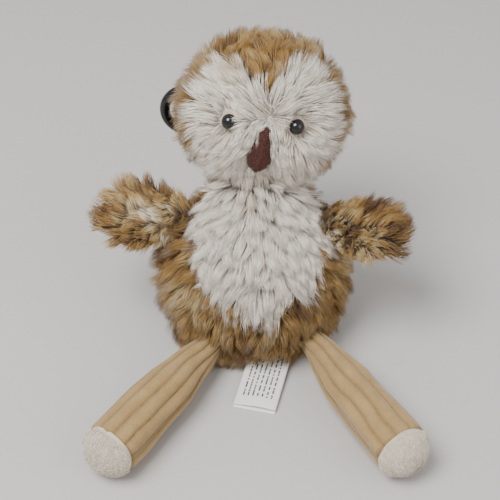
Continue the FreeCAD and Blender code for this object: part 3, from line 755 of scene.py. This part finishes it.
def make_head(sizes):
    """The padded head and the pile of its three panels.

    The face's pile runs out from a point between the eyes, and turns away from each eye near it. It is shorter
    by a bell curve of the distance to an eye, the brow over it or the beak, and short beside the clip.
    """
    def seams(points):
        local = taken(points, HEAD)
        crown = np.abs(local[:, 2] - 19.0) < 1.0
        return (np.abs(local[:, 1] + 5) < 1.2) | (crown & (local[:, 1] < -5) & (np.abs(local[:, 0]) > 10))

    def shades(points):
        x, y, z = taken(points, HEAD).T
        crown_edge = np.where(np.abs(x) < 10, 10 + 0.9 * np.abs(x), 19.0)  # dips to a peak on the forehead
        crown = (y < -5) & (z + 1.5 * ripple(points, 5, 31) > crown_edge)
        face = (y < -5) & ~crown
        brown = 0.70 + 0.10 * ripple(points, 9, 32) + 0.07 * ripple(points, 4, 33)
        rim = np.hypot(x / 30.0, z / 26.5) + 0.04 * ripple(points, 5, 34) + np.where(x < 0, 0.05, 0.0)
        eyes = sum(np.exp(-((((np.stack([x, y, z], 1) - e) ** 2).sum(1)) / 30)) for e in eye_points())
        streak = np.exp(-((x + 9) ** 2 / 10 + (z - 15) ** 2 / 30))
        white = 0.03 + 0.16 * eyes + 0.22 * streak + 0.66 * smooth(rim, 0.80, 0.88) * smooth(z, -17, -9)
        return np.where(face, white, brown), face, crown

    points, triangles = blown(head_form(1.2), 2.4, 1.8, 3.0, seams)
    shade, _, _ = shades(points)
    backing("head_padding", points, triangles, shade, "head", ["head_stuffing"])
    roots, normals = sown(points, triangles, SOWN_PER_MM2, 12)
    local = taken(roots, HEAD)
    away_neck = np.linalg.norm(local - [0, 0, -HEAD_RISE], axis=1) > 10.5
    beak = (local - BEAK_BASE) @ BEAK_TURN
    on_beak = (np.abs(beak[:, 0]) < 1.2 + 0.16 * beak[:, 2]) & (beak[:, 1] > -9)
    on_beak = on_beak & (beak[:, 2] > 0) & (beak[:, 2] < 17)
    on_eye = sum((((local - e - [0, 0, 0.5]) ** 2).sum(1) < 4.1**2) for e in eye_points()) > 0
    keep = away_neck & ~on_beak & ~on_eye
    roots, normals, local, beak = roots[keep], normals[keep], local[keep], beak[keep]
    shade, face, crown = shades(roots)
    back = ~face & ~crown

    spread = local - np.array([2.0, -20.0, 3.0])
    spread[:, 1] *= 0.4
    spread[:, 2] = spread[:, 2] * np.where(spread[:, 2] > 0, 0.9, 1.3)
    spread = unit(spread)
    for e in eye_points():
        gap = local - e
        w = np.exp(-((gap**2).sum(1) / 7.0**2))[:, None]
        spread = spread * (1 - 0.8 * w) + unit(gap) * 0.8 * w
    up = np.stack([local[:, 0] * 0.02, -0.35 + 0 * shade, 1.0 + 0 * shade], 1)
    behind = np.stack([local[:, 0] * 0.03, 0.4 - 0.02 * local[:, 1], -0.6 - 0.01 * local[:, 2]], 1)
    top = smooth(local[:, 2], 8, 22)[:, None]
    behind = behind * (1 - top) + np.array([0.0, 0.3, 1.0]) * top
    flow = np.where(face[:, None], spread, np.where(crown[:, None], up, behind))
    flow = flow @ HEAD[0].T

    near_eye = sum(np.exp(-(((local - e) ** 2).sum(1) / 6.5**2)) for e in eye_points())
    brow = sum(np.exp(-(((local - e - [0, 0, 5.0]) ** 2).sum(1) / 5.2**2)) for e in eye_points())
    near_beak = np.exp(-(np.maximum(np.abs(beak[:, 0]) - 4, 0) / 3) ** 2) * (np.abs(beak[:, 2] - 9) < 12)
    length = np.where(face, sizes.face_pile / MM, sizes.body_pile / MM)
    length = length * (1 - 0.62 * near_eye) * (1 - 0.6 * brow) * np.where(face, 1 - 0.45 * near_beak, 1.0)
    line = clip_line()
    gap = np.sqrt(((roots - line[nearest(roots, line)]) ** 2).sum(1))
    length = length * (0.3 + 0.7 * smooth(gap, 6, 14))
    panels = (
        ("face_pile", face, "face_panel", "white_plush",
         dict(lock=3.2, lying=15, steep=52, wild=0.22, gather=0.6, draw=1.6, thick=0.12)),
        ("crown_pile", crown, "crown_panel", "brown_plush",
         dict(lock=3.6, lying=44, steep=76, wild=0.24, gather=0.6)),
        ("head_back_pile", back, "head_back_panel", "brown_plush",
         dict(lock=4.0, lying=34, steep=72, wild=0.22, gather=0.6)),
    )
    for seed, (name, mask, node, slot, style) in enumerate(panels, 40):
        pile_piece(name, roots[mask], normals[mask], flow[mask], length[mask], shade[mask], "head",
                   [node], slot, seed, floor=-100, **style)


def make_beak():
    """A kite in front view with a rounded ridge: its half width and height follow smooth curves of length."""
    t = np.linspace(0, 1, 48)
    z = 20.3 * (1 - np.cos(math.pi * t)) / 2
    width = np.interp(z, [0, 1.2, 8, 14.2, 18, 20.3], [0.35, 1.5, 3.5, 5.0, 3.3, 0.35])
    height = np.interp(z, [0, 1.2, 8, 14.2, 18, 20.3], [0.35, 1.3, 2.6, 3.4, 2.4, 0.35])
    for _ in range(3):
        width[1:-1] = (width[:-2] + 2 * width[1:-1] + width[2:]) / 4
        height[1:-1] = (height[:-2] + 2 * height[1:-1] + height[2:]) / 4
    rings = ellipses(width, height, z, 48)
    ridge = np.exp(-((rings[:, :, 0] / 0.9) ** 2)) * (rings[:, :, 1] > 0)
    rings[:, :, 1] += 0.45 * ridge * (height / height.max())[:, None]
    points = tube_points(rings) @ BEAK_TURN.T + BEAK_BASE
    points = put(points, HEAD)
    points += point_normals(points, tube_triangles(48, 48)) * (0.12 * ripple(points, 1.4, 61))[:, None]
    piece = new_piece("beak", points, tube_triangles(48, 48), "red-brown beak velour", "head",
                      ["beak_cover", "beak_stuffing"])
    roots, normals = sown(points, tube_triangles(48, 48), 6.0, 62)
    flow = np.tile(HEAD[0] @ BEAK_TURN[:, 2], (len(roots), 1))
    nap, faces, uv = pile(roots, normals, flow, 0.9 + 0 * roots[:, 0], 0.5 + 0 * roots[:, 0], 63,
                          lock=0.9, steep=70, lying=30, thick=0.09, gather=0.4, floor=-100)
    new_piece("beak_nap", nap, faces, "red-brown beak velour", "head", uv=uv)


# ---- wings and legs ------------------------------------------------------------------------------------
def make_wing(name, sizes):
    """One wing: a padded drop in short lining velour, long pile on its outer side, and the lining's nap."""
    place = wing_place(name)
    seed = 70 + SIDES[name]

    def seams(points):
        return np.abs(taken(points, place)[:, 1]) < 0.8

    form = put(tube_points(wing_rings(0.3, 40, 48)), place), tube_triangles(40, 48)
    points, triangles = blown(form, 1.5, 0.9, 3.0, seams)
    body = name + "_wing"
    lining = new_piece(body + "_lining_cloth", points, triangles, "tan wing velour", body,
                       [body + "_lining", body + "_stuffing"])
    roots, normals = sown(points, triangles, SOWN_PER_MM2, seed)
    local = taken(roots, place)
    low_rim = -SIDES[name] * local[:, 0]
    keep = (local[:, 1] > np.where(low_rim > 3, 1.2, -1.6)) & (local[:, 2] > 4.5)
    roots, normals, local = roots[keep], normals[keep], local[keep]
    tip = smooth(local[:, 2], 20, 38)[:, None]
    flow = np.stack([local[:, 0] * 0.06, 0 * tip[:, 0], 1 + 0 * tip[:, 0]], 1)
    swirl = np.stack([ripple(local, 5, seed + k) for k in (3, 4, 5)], 1)
    flow = (flow + swirl * (0.25 + 0.55 * tip)) @ place[0].T
    shade = 0.70 + 0.12 * ripple(roots, 7, seed + 6) + 0.08 * ripple(roots, 3, seed + 7)
    parting = np.exp(-((local[:, 0] + 1.5 * ripple(local, 9, seed + 8)) ** 2) / 9) * smooth(local[:, 2], 8, 14)
    low = smooth(-SIDES[name] * local[:, 0], 0.5, 7) * (1 - 0.8 * tip[:, 0])
    shade = shade - 0.30 * np.maximum(parting * (1 - tip[:, 0]), low) + 0.10 * smooth(12 - local[:, 2], 0, 6)
    length = sizes.wing_pile / MM * (1 - 0.3 * smooth(10 - local[:, 2], 0, 5)) * (1 - 0.35 * low)
    pile_piece(body + "_pile", roots, normals, flow, length, shade, body, [body + "_fur_panel"], "brown_plush",
               seed + 10, lock=2.8, steep=76, lying=34, wild=0.26, gather=0.55)
    nap_roots, nap_normals = sown(points, triangles, 2.6, seed + 20)
    side = taken(nap_roots, place)
    keep = (side[:, 1] < -1.0) & (side[:, 2] > 5)
    nap_roots, nap_normals = nap_roots[keep], nap_normals[keep]
    flow = np.tile(place[0][:, 2], (len(nap_roots), 1))
    nap, faces, uv = pile(nap_roots, nap_normals, flow, 1.5 + 0 * nap_roots[:, 0], 0.38 + 0 * nap_roots[:, 0],
                          seed + 21, lock=1.4, steep=60, lying=20, thick=0.12, gather=0.4)
    new_piece(body + "_lining_nap", nap, faces, "dyed acrylic long pile", body, uv=uv)


def finer(rings, rows, around):
    """The rings' values at more rows and columns, straight between and then blurred over one old step."""
    old_rows, old_around = rings.shape[:2]
    r = np.linspace(0, old_rows - 1, rows)
    c = np.arange(around) * old_around / around
    r0, c0 = np.minimum(r.astype(int), old_rows - 2), c.astype(int)
    fr, fc = (r - r0)[:, None, None], (c - c0)[None, :, None]
    c1 = (c0 + 1) % old_around
    low = rings[r0][:, c0] * (1 - fc) + rings[r0][:, c1] * fc
    high = rings[r0 + 1][:, c0] * (1 - fc) + rings[r0 + 1][:, c1] * fc
    found = low * (1 - fr) + high * fr
    for _ in range(6):
        found = (np.roll(found, 1, 1) + 2 * found + np.roll(found, -1, 1)) / 4
        padded = np.concatenate([found[:1], found, found[-1:]])
        found = (padded[:-2] + 2 * padded[1:-1] + padded[2:]) / 4
    return found


def leg_skin(name):
    """(fine rings of the stuffed leg in its own frame, lateral place on the panel, height along the leg)."""
    place = leg_place(name)
    rows, around, fine_rows, fine_around = 44, 36, 250, 160
    coarse = leg_rings(0.7, rows, around)
    points = put(tube_points(coarse), place)
    angle = np.abs(np.cos(np.arange(around) * math.tau / around))
    seam = np.repeat((angle > 0.995)[None], rows, axis=0)
    toe = np.abs(coarse[:, :, 2] - (LEG_LENGTH - TOE_LENGTH)) < 1.0
    held = np.concatenate([[True], (seam | toe).ravel(), [True]])
    moved = solved(points, tube_triangles(rows, around), held, 1.1, 3.0)
    shift = taken(moved, place)[1:-1].reshape(rows, around, 3) - coarse
    rings = leg_rings(0.7, fine_rows, fine_around) + finer(shift, fine_rows, fine_around)
    a = np.arange(fine_around) * math.tau / fine_around
    off_top = (a - math.pi / 2 + math.pi) % math.tau - math.pi
    lateral = np.where(np.abs(off_top) <= math.pi / 2, off_top, np.sign(off_top) * (math.pi - np.abs(off_top)))
    return place, rings, lateral, off_top


def make_leg(name, sizes):
    """One leg and its toe: the stuffed leg's rings pressed in at the grooves and the seams.

    A rib stands as the square root of a cosine's size; the cosine turns half round in each wale across the leg.
    """
    place, rings, lateral, off_top = leg_skin(name)
    rows, around = rings.shape[:2]
    z = rings[:, :, 2]
    flat = rings.reshape(-1, 3)
    radius = np.hypot(rings[:, :, 0], rings[:, :, 1])
    seed = 90 + SIDES[name]
    long_way = flat * [0.5, 0.5, 0.55]
    wobble = 0.07 * ripple(long_way, 9, seed) + 0.03 * ripple(long_way, 3, seed + 1)
    wobble = wobble.reshape(rows, around)
    reach = lateral[None] * (0.55 * radius + 0.45 * 9.5)
    phase = reach / (sizes.wale / MM) + wobble
    rib = np.sqrt(np.abs(np.cos(math.pi * phase)))
    seam = np.exp(-(((np.abs(off_top)[None] - math.pi / 2) * radius / 0.9) ** 2))
    toe_line = LEG_LENGTH - TOE_LENGTH - 0.8 + 1.2 * np.cos(off_top)[None] ** 2
    toe_seam = np.exp(-(((z - toe_line) / 1.0) ** 2))
    sag = 0.35 * ripple(flat * [1, 1, 0.5], 8, seed + 2).reshape(rows, around)
    inward = -1.5 * (1 - rib) - 0.8 * seam - 0.9 * toe_seam + sag
    out = unit(rings * [1, 1, 0])
    beyond = smooth(z, toe_line - 0.9, toe_line + 0.2)
    skin = rings + out * (inward * (1 - beyond) - 1.1 * beyond)[:, :, None]
    skin = put(tube_points(skin), place)
    skin[:, 2] = np.maximum(skin[:, 2], 0.25)
    # where the painted shade goes, partly the thin pile: groove is highest down between the ribs, along the two
    # side seams and at the toe seam
    groove = np.clip(0.9 * (1 - rib) ** 1.3 + 0.6 * seam + 0.5 * toe_seam, 0, 1)
    groove = np.concatenate([[0.5], groove.ravel(), [0.5]])
    faces = tube_triangles(rows, around)
    leg = name + "_leg"
    piece = new_piece(leg + "_corduroy", skin, faces, "brushed wide-wale corduroy", leg,
                      [leg + "_upper_panel", leg + "_under_panel", leg + "_stuffing"],
                      values={"groove": groove})

    first = int(np.argmax(z[:, 0] > LEG_LENGTH - TOE_LENGTH - 0.6))
    toe = rings[first:]
    bulge = np.exp(-(((toe[:, :, 2] - toe_line) / 1.3) ** 2))
    dimples = ripple(toe.reshape(-1, 3), 5, seed + 3).reshape(toe.shape[:2])
    toe = toe + unit(toe * [1, 1, 0]) * (0.35 - 1.1 * bulge + 0.25 * dimples)[:, :, None]
    points = put(tube_points(toe), place)
    points[:, 2] = np.maximum(points[:, 2], 0.25)
    faces = tube_triangles(len(toe), around)
    piece = new_piece(name + "_toe", points, faces, "brushed toe plush", leg,
                      [name + "_toe_cap", name + "_sole_panel"])
    roots, normals = sown(points, faces, 5.0, seed + 4)
    local = taken(roots, place)
    keep = (local[:, 2] > LEG_LENGTH - TOE_LENGTH + 0.8) & ~((normals[:, 2] < -0.8) & (roots[:, 2] < 1.0))
    roots, normals = roots[keep], normals[keep]
    flow = np.tile(place[0][:, 2], (len(roots), 1))
    nap, faces, uv = pile(roots, normals, flow, 1.4 + 0 * roots[:, 0], 0.13 + 0 * roots[:, 0], seed + 5,
                          lock=1.2, steep=40, lying=8, thick=0.075, gather=0.2, wild=0.12)
    new_piece(name + "_toe_nap", nap, faces, "dyed acrylic long pile", leg, uv=uv)


# ---- small pieces --------------------------------------------------------------------------------------
def make_gathers():
    """Balls of drawn-up cloth: pleats run from pole to pole, deepest half way between them."""
    bodies = {"neck_gather": "neck"}
    for side in SIDES:
        bodies[side + "_shoulder_gather"] = side + "_shoulder"
        bodies[side + "_hip_gather"] = side + "_hip"
    for node, body in bodies.items():
        low, high = (np.array(corner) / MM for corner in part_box(node))
        radius = (high[0] - low[0]) / 2 - 0.1
        t = np.linspace(0.04, math.pi - 0.04, 28)
        rings = ellipses(radius * np.sin(t), radius * np.sin(t), -radius * np.cos(t), 96)
        pleat = np.abs(np.cos(np.arange(96) * math.tau / 96 * 9))
        rings[:, :, :2] *= (1 - 0.07 * pleat)[None, :, None]
        points = tube_points(rings) + (low + high) / 2
        piece = new_piece(node + "_cloth", points, tube_triangles(28, 96), "gathered tricot", body, [node])


def make_label():
    """A ribbon along a folded path: the lower leaf, half a circle, and the upper leaf, curled up a little."""
    half = (LABEL_THICKNESS - LABEL_CLOTH) / 2
    low = np.linspace(-LABEL_LENGTH - LABEL_OVERLAP + 0.1, 0, 50)
    turn = np.linspace(-math.pi / 2, math.pi / 2, 9)[1:-1]
    high = np.linspace(0, -LABEL_LENGTH + 0.1, 50)
    y = np.concatenate([low, half * np.cos(turn), high])
    z = np.concatenate([0 * low - half, half * np.sin(turn), half + 0.55 * (high / LABEL_LENGTH) ** 2])
    x = np.linspace(-8.9, 8.9, 30)
    along = np.linspace(0, 1, len(y))
    grid = np.stack(np.broadcast_arrays(x[None], y[:, None], z[:, None]), 2).copy()
    upper = smooth(along, 0.55, 0.95)[:, None]
    grid[:, :, 2] += upper * 0.35 * np.sin(x / 5.2 + 0.6)[None] + upper * 0.25 * np.cos(x / 2.9)[None]
    drop = math.asin((3.2 - LABEL_THICKNESS / 2 - 0.1) / (LABEL_LENGTH + LABEL_OVERLAP))
    c, s = math.cos(math.radians(-14)), math.sin(math.radians(-14))
    turn = np.array([[c, -s, 0], [s, c, 0], [0, 0, 1]]) @ turned(0, drop)
    points = grid.reshape(-1, 3) @ turn.T + joint_point("label_lift")
    points[:, 2] = np.maximum(points[:, 2], 0.3)
    rows, across = len(y), len(x)
    i, j = np.meshgrid(np.arange(rows - 1), np.arange(across - 1), indexing="ij")
    a = (i * across + j).ravel()
    low_half = np.stack([a, a + 1, a + across + 1], 1)
    faces = np.concatenate([low_half, np.stack([a, a + across + 1, a + across], 1)])
    u, v = np.meshgrid(np.linspace(0, 1, across), along)
    piece = new_piece("care_label_ribbon", points, faces[:, ::-1], "printed satin ribbon", "label",
                      ["care_label"],
                      uv=np.stack([u.ravel(), v.ravel()], 1))
    cloth = piece.modifiers.new("thickness", "SOLIDIFY")
    cloth.thickness = 0.25 * MM
    cloth.offset = 0


def make_strap():
    """Webbing swept along its path: out from the head, round the clip's bar and back, in a rounded section."""
    reach, loop = 16.5, CLIP_BAR + 0.9 + 0.5
    mouth = math.asin(0.5 / loop)
    ring = np.linspace(math.pi - mouth, -math.pi + mouth, 60)
    out = np.linspace(0.4, reach - loop * math.cos(mouth), 40)
    y = np.concatenate([out, reach + loop * np.cos(ring), out[::-1]])
    z = np.concatenate([0 * out + 0.5, loop * np.sin(ring), 0 * out - 0.5])
    turn = np.linspace(-math.pi / 2, math.pi / 2, 9)[1:-1]
    y = np.concatenate([y, 0.4 - 0.5 * np.cos(turn)])
    z = np.concatenate([z, 0.5 * np.sin(turn)])
    for _ in range(2):
        y = (np.roll(y, 1) + 2 * y + np.roll(y, -1)) / 4
        z = (np.roll(z, 1) + 2 * z + np.roll(z, -1)) / 4
    path = np.stack([y, z], 1)
    ahead = unit(np.roll(path, -1, 0) - np.roll(path, 1, 0))
    normal = np.stack([-ahead[:, 1], ahead[:, 0]], 1)
    section = np.array([[-2.95, -0.3], [-2.8, -0.45], [0, -0.48], [2.8, -0.45], [2.95, -0.3], [2.95, 0.3],
                        [2.8, 0.45], [0, 0.48], [-2.8, 0.45], [-2.95, 0.3]])
    yz = path[:, None] + normal[:, None] * section[None, :, 1:]
    grid = np.concatenate([np.broadcast_to(section[None, :, :1], yz.shape[:2] + (1,)), yz], axis=2)
    rows, around = grid.shape[:2]
    droop = math.radians(-39)
    points = grid.reshape(-1, 3) @ turned(0, droop).T + joint_point("tab_flap")
    i, j = np.meshgrid(np.arange(rows), np.arange(around), indexing="ij")
    a, b = i * around + j, i * around + (j + 1) % around
    c, d = (i + 1) % rows * around + j, (i + 1) % rows * around + (j + 1) % around
    faces = np.concatenate([np.stack([a, b, d], 2).reshape(-1, 3), np.stack([a, d, c], 2).reshape(-1, 3)])
    u = np.broadcast_to((section[:, 0] / 6 + 0.5)[None], (rows, around))
    v = np.broadcast_to((np.arange(rows) / rows)[:, None], (rows, around))
    new_piece("clip_strap", points, faces, "woven polypropylene webbing", "tab", ["webbing_tab"],
              uv=np.stack([u.ravel(), v.ravel()], 1))


def finish_hard_nodes():
    """Gives the eyes, the clip and the pieces inside it their materials; their solids are shown as they are."""
    finishes = {
        "left_eye": "polished black eye plastic", "right_eye": "polished black eye plastic",
        "left_eye_washer": "moulded nylon washer", "right_eye_washer": "moulded nylon washer",
        "clip_frame": "moulded black acetal", "clip_gate": "moulded black acetal",
        "gate_pin": "drawn spring steel", "gate_spring": "drawn spring steel",
    }
    for node, name in finishes.items():
        mesh = frame["nodes"][node]
        mesh.data.materials.clear()
        mesh.data.materials.append(bpy.data.materials[name])


# ---- stage ---------------------------------------------------------------------------------------------
def lamp(name, place, aim, size, watts, colour="#ffffff"):
    """A round area lamp of a width in metres, at a place, that faces the aim."""
    data = bpy.data.lights.new(name, "AREA")
    data.shape = "DISK"
    data.size = size
    data.energy = watts
    data.color = linear(colour)[:3]
    light = bpy.data.objects.new(name, data)
    bpy.context.scene.collection.objects.link(light)
    light.location = place
    light.rotation_euler = (Vector(aim) - Vector(place)).to_track_quat("-Z", "Y").to_euler()


def make_stage(stage):
    """A pale floor, one wide soft lamp above and in front, a weaker fill, and the camera at 40 degrees."""
    mesh = new_mesh("floor", np.array([[-3, -3, 0], [3, -3, 0], [3, 3, 0], [-3, 3, 0.0]]),
                    np.array([[0, 1, 2], [0, 2, 3]]))
    floor = bpy.data.objects.new("floor", mesh)
    mesh.materials.append(bpy.data.materials["matt paper floor"])
    bpy.context.scene.collection.objects.link(floor)
    lamp("key", (-0.35, -0.35, 0.85), (0, 0, 0.04), 0.55, stage.key_watts)
    lamp("fill", (0.7, -0.5, 0.5), (0, 0, 0.04), 0.8, stage.fill_watts)
    world = bpy.data.worlds.new("studio")
    world.use_nodes = True
    world.node_tree.nodes["Background"].inputs[0].default_value = linear("#f4f3f2")
    world.node_tree.nodes["Background"].inputs[1].default_value = stage.ambient
    bpy.context.scene.world = world
    data = bpy.data.cameras.new("camera")
    data.lens = 80.6
    data.sensor_width = 36.0
    camera = bpy.data.objects.new("camera", data)
    bpy.context.scene.collection.objects.link(camera)
    target = Vector((-0.003, -0.0094, 0.046))
    rise = math.radians(40)
    camera.location = target + Vector((0, -math.cos(rise), math.sin(rise))) * stage.camera_distance
    camera.rotation_euler = (target - camera.location).to_track_quat("-Z", "Y").to_euler()
    bpy.context.scene.camera = camera


# ---- the add-on ----------------------------------------------------------------------------------------
class OwlSizes(bpy.types.PropertyGroup):
    """Sizes of pile and cloth that a maker may change."""

    face_pile: FloatProperty(name="Face pile", description="Length of the white pile on the face",
                             default=0.0135, unit="LENGTH")
    belly_pile: FloatProperty(name="Belly pile", description="Length of the white pile on the belly",
                              default=0.0165, unit="LENGTH")
    body_pile: FloatProperty(name="Body pile", description="Length of the brown pile",
                             default=0.0130, unit="LENGTH")
    wing_pile: FloatProperty(name="Wing pile", description="Length of the pile on the wings",
                             default=0.0120, unit="LENGTH")
    wale: FloatProperty(name="Wale", description="Width of one rib of the corduroy",
                        default=0.0060, unit="LENGTH")


class OwlColours(bpy.types.PropertyGroup):
    """Colours of the toy and its floor, in linear light."""

    white_pile: FloatVectorProperty(name="White pile", description="Palest pile", subtype="COLOR", size=4,
                                    default=linear("#fcf5ea"))
    cream_pile: FloatVectorProperty(name="Cream pile", description="Tinted white pile", subtype="COLOR", size=4,
                                    default=linear("#eadfce"))
    beige_pile: FloatVectorProperty(name="Beige pile", description="Pale part of the brown pile", subtype="COLOR",
                                    size=4, default=linear("#ccb483"))
    golden_pile: FloatVectorProperty(name="Golden pile", description="Middle of the brown pile", subtype="COLOR",
                                     size=4, default=linear("#a68040"))
    brown_pile: FloatVectorProperty(name="Brown pile", description="Darker brown pile", subtype="COLOR", size=4,
                                    default=linear("#7c5826"))
    dark_pile: FloatVectorProperty(name="Dark pile", description="Darkest pile", subtype="COLOR", size=4,
                                   default=linear("#5b3a1b"))
    corduroy_high: FloatVectorProperty(name="Corduroy ribs", description="Tops of the ribs", subtype="COLOR",
                                       size=4, default=linear("#ac8f60"))
    corduroy_low: FloatVectorProperty(name="Corduroy sides", description="Sides of the ribs", subtype="COLOR",
                                      size=4, default=linear("#8f7347"))
    label: FloatVectorProperty(name="Label", description="Satin of the care label", subtype="COLOR", size=4,
                               default=linear("#f1efec"))
    floor: FloatVectorProperty(name="Floor", description="Paper floor", subtype="COLOR", size=4,
                               default=linear("#bfbcb9"))


class OwlStage(bpy.types.PropertyGroup):
    """Lights and camera."""

    key_watts: FloatProperty(name="Key", description="Power of the key lamp", default=12.0, unit="POWER")
    fill_watts: FloatProperty(name="Fill", description="Power of the fill lamp", default=2.5, unit="POWER")
    ambient: FloatProperty(name="Ambient", description="Strength of the light from all round", default=0.8)
    camera_distance: FloatProperty(name="Camera distance", description="From the camera to the middle of the toy",
                                   default=0.470, unit="LENGTH")


class OWL_OT_finishes(bpy.types.Operator):
    """Makes every material of the toy and its floor"""

    bl_idname = "owl.finishes"
    bl_label = "Finishes"

    def execute(self, context):
        make_finishes(context.scene.owl_colours)
        return {"FINISHED"}


class OWL_OT_stage(bpy.types.Operator):
    """Makes the floor, the lamps and the camera"""

    bl_idname = "owl.stage"
    bl_label = "Stage"

    def execute(self, context):
        make_stage(context.scene.owl_stage)
        return {"FINISHED"}


class OWL_OT_torso(bpy.types.Operator):
    """Makes the padded torso and the pile of its three panels"""

    bl_idname = "owl.torso"
    bl_label = "Torso"

    def execute(self, context):
        make_torso(context.scene.owl_sizes)
        return {"FINISHED"}


class OWL_OT_head(bpy.types.Operator):
    """Makes the padded head and the pile of its three panels"""

    bl_idname = "owl.head"
    bl_label = "Head"

    def execute(self, context):
        make_head(context.scene.owl_sizes)
        return {"FINISHED"}


class OWL_OT_beak(bpy.types.Operator):
    """Makes the velour beak"""

    bl_idname = "owl.beak"
    bl_label = "Beak"

    def execute(self, context):
        make_beak()
        return {"FINISHED"}


class OWL_OT_wings(bpy.types.Operator):
    """Makes both wings with their pile and lining"""

    bl_idname = "owl.wings"
    bl_label = "Wings"

    def execute(self, context):
        for name in SIDES:
            make_wing(name, context.scene.owl_sizes)
        return {"FINISHED"}


class OWL_OT_legs(bpy.types.Operator):
    """Makes both corduroy legs with their plush toes"""

    bl_idname = "owl.legs"
    bl_label = "Legs"

    def execute(self, context):
        for name in SIDES:
            make_leg(name, context.scene.owl_sizes)
        return {"FINISHED"}


class OWL_OT_gathers(bpy.types.Operator):
    """Makes the five gathers that the toy bends at"""

    bl_idname = "owl.gathers"
    bl_label = "Gathers"

    def execute(self, context):
        make_gathers()
        return {"FINISHED"}


class OWL_OT_label(bpy.types.Operator):
    """Makes the folded care label"""

    bl_idname = "owl.label"
    bl_label = "Care label"

    def execute(self, context):
        make_label()
        return {"FINISHED"}


class OWL_OT_clip(bpy.types.Operator):
    """Makes the webbing strap and finishes the eyes and the clip"""

    bl_idname = "owl.clip"
    bl_label = "Strap, clip and eyes"

    def execute(self, context):
        make_strap()
        finish_hard_nodes()
        return {"FINISHED"}


OPERATORS = (OWL_OT_finishes, OWL_OT_stage, OWL_OT_torso, OWL_OT_head, OWL_OT_beak, OWL_OT_wings, OWL_OT_legs,
             OWL_OT_gathers, OWL_OT_label, OWL_OT_clip)


class OWL_PT_panel(bpy.types.Panel):
    """Lists the making of the toy, piece by piece"""

    bl_idname = "OWL_PT_panel"
    bl_label = "Plush owl"
    bl_space_type = "VIEW_3D"
    bl_region_type = "UI"
    bl_category = "Plush owl"

    def draw(self, context):
        for operator in OPERATORS:
            self.layout.operator(operator.bl_idname)
        for group in (context.scene.owl_sizes, context.scene.owl_colours, context.scene.owl_stage):
            for key in group.bl_rna.properties.keys():
                if key not in ("rna_type", "name"):
                    self.layout.prop(group, key)


CLASSES = (OwlSizes, OwlColours, OwlStage, *OPERATORS, OWL_PT_panel)


def register():
    """Adds the classes and the settings to Blender."""
    for one in CLASSES:
        bpy.utils.register_class(one)
    bpy.types.Scene.owl_sizes = PointerProperty(type=OwlSizes)
    bpy.types.Scene.owl_colours = PointerProperty(type=OwlColours)
    bpy.types.Scene.owl_stage = PointerProperty(type=OwlStage)


def unregister():
    """Takes the settings and the classes out of Blender."""
    del bpy.types.Scene.owl_stage
    del bpy.types.Scene.owl_colours
    del bpy.types.Scene.owl_sizes
    for one in reversed(CLASSES):
        bpy.utils.unregister_class(one)


def main():
    """Makes every piece of the toy in order."""
    register()
    for make in (bpy.ops.owl.finishes, bpy.ops.owl.stage, bpy.ops.owl.torso, bpy.ops.owl.head, bpy.ops.owl.beak,
                 bpy.ops.owl.wings, bpy.ops.owl.legs, bpy.ops.owl.gathers, bpy.ops.owl.label, bpy.ops.owl.clip):
        make()


if __name__ == "__main__":
    main()
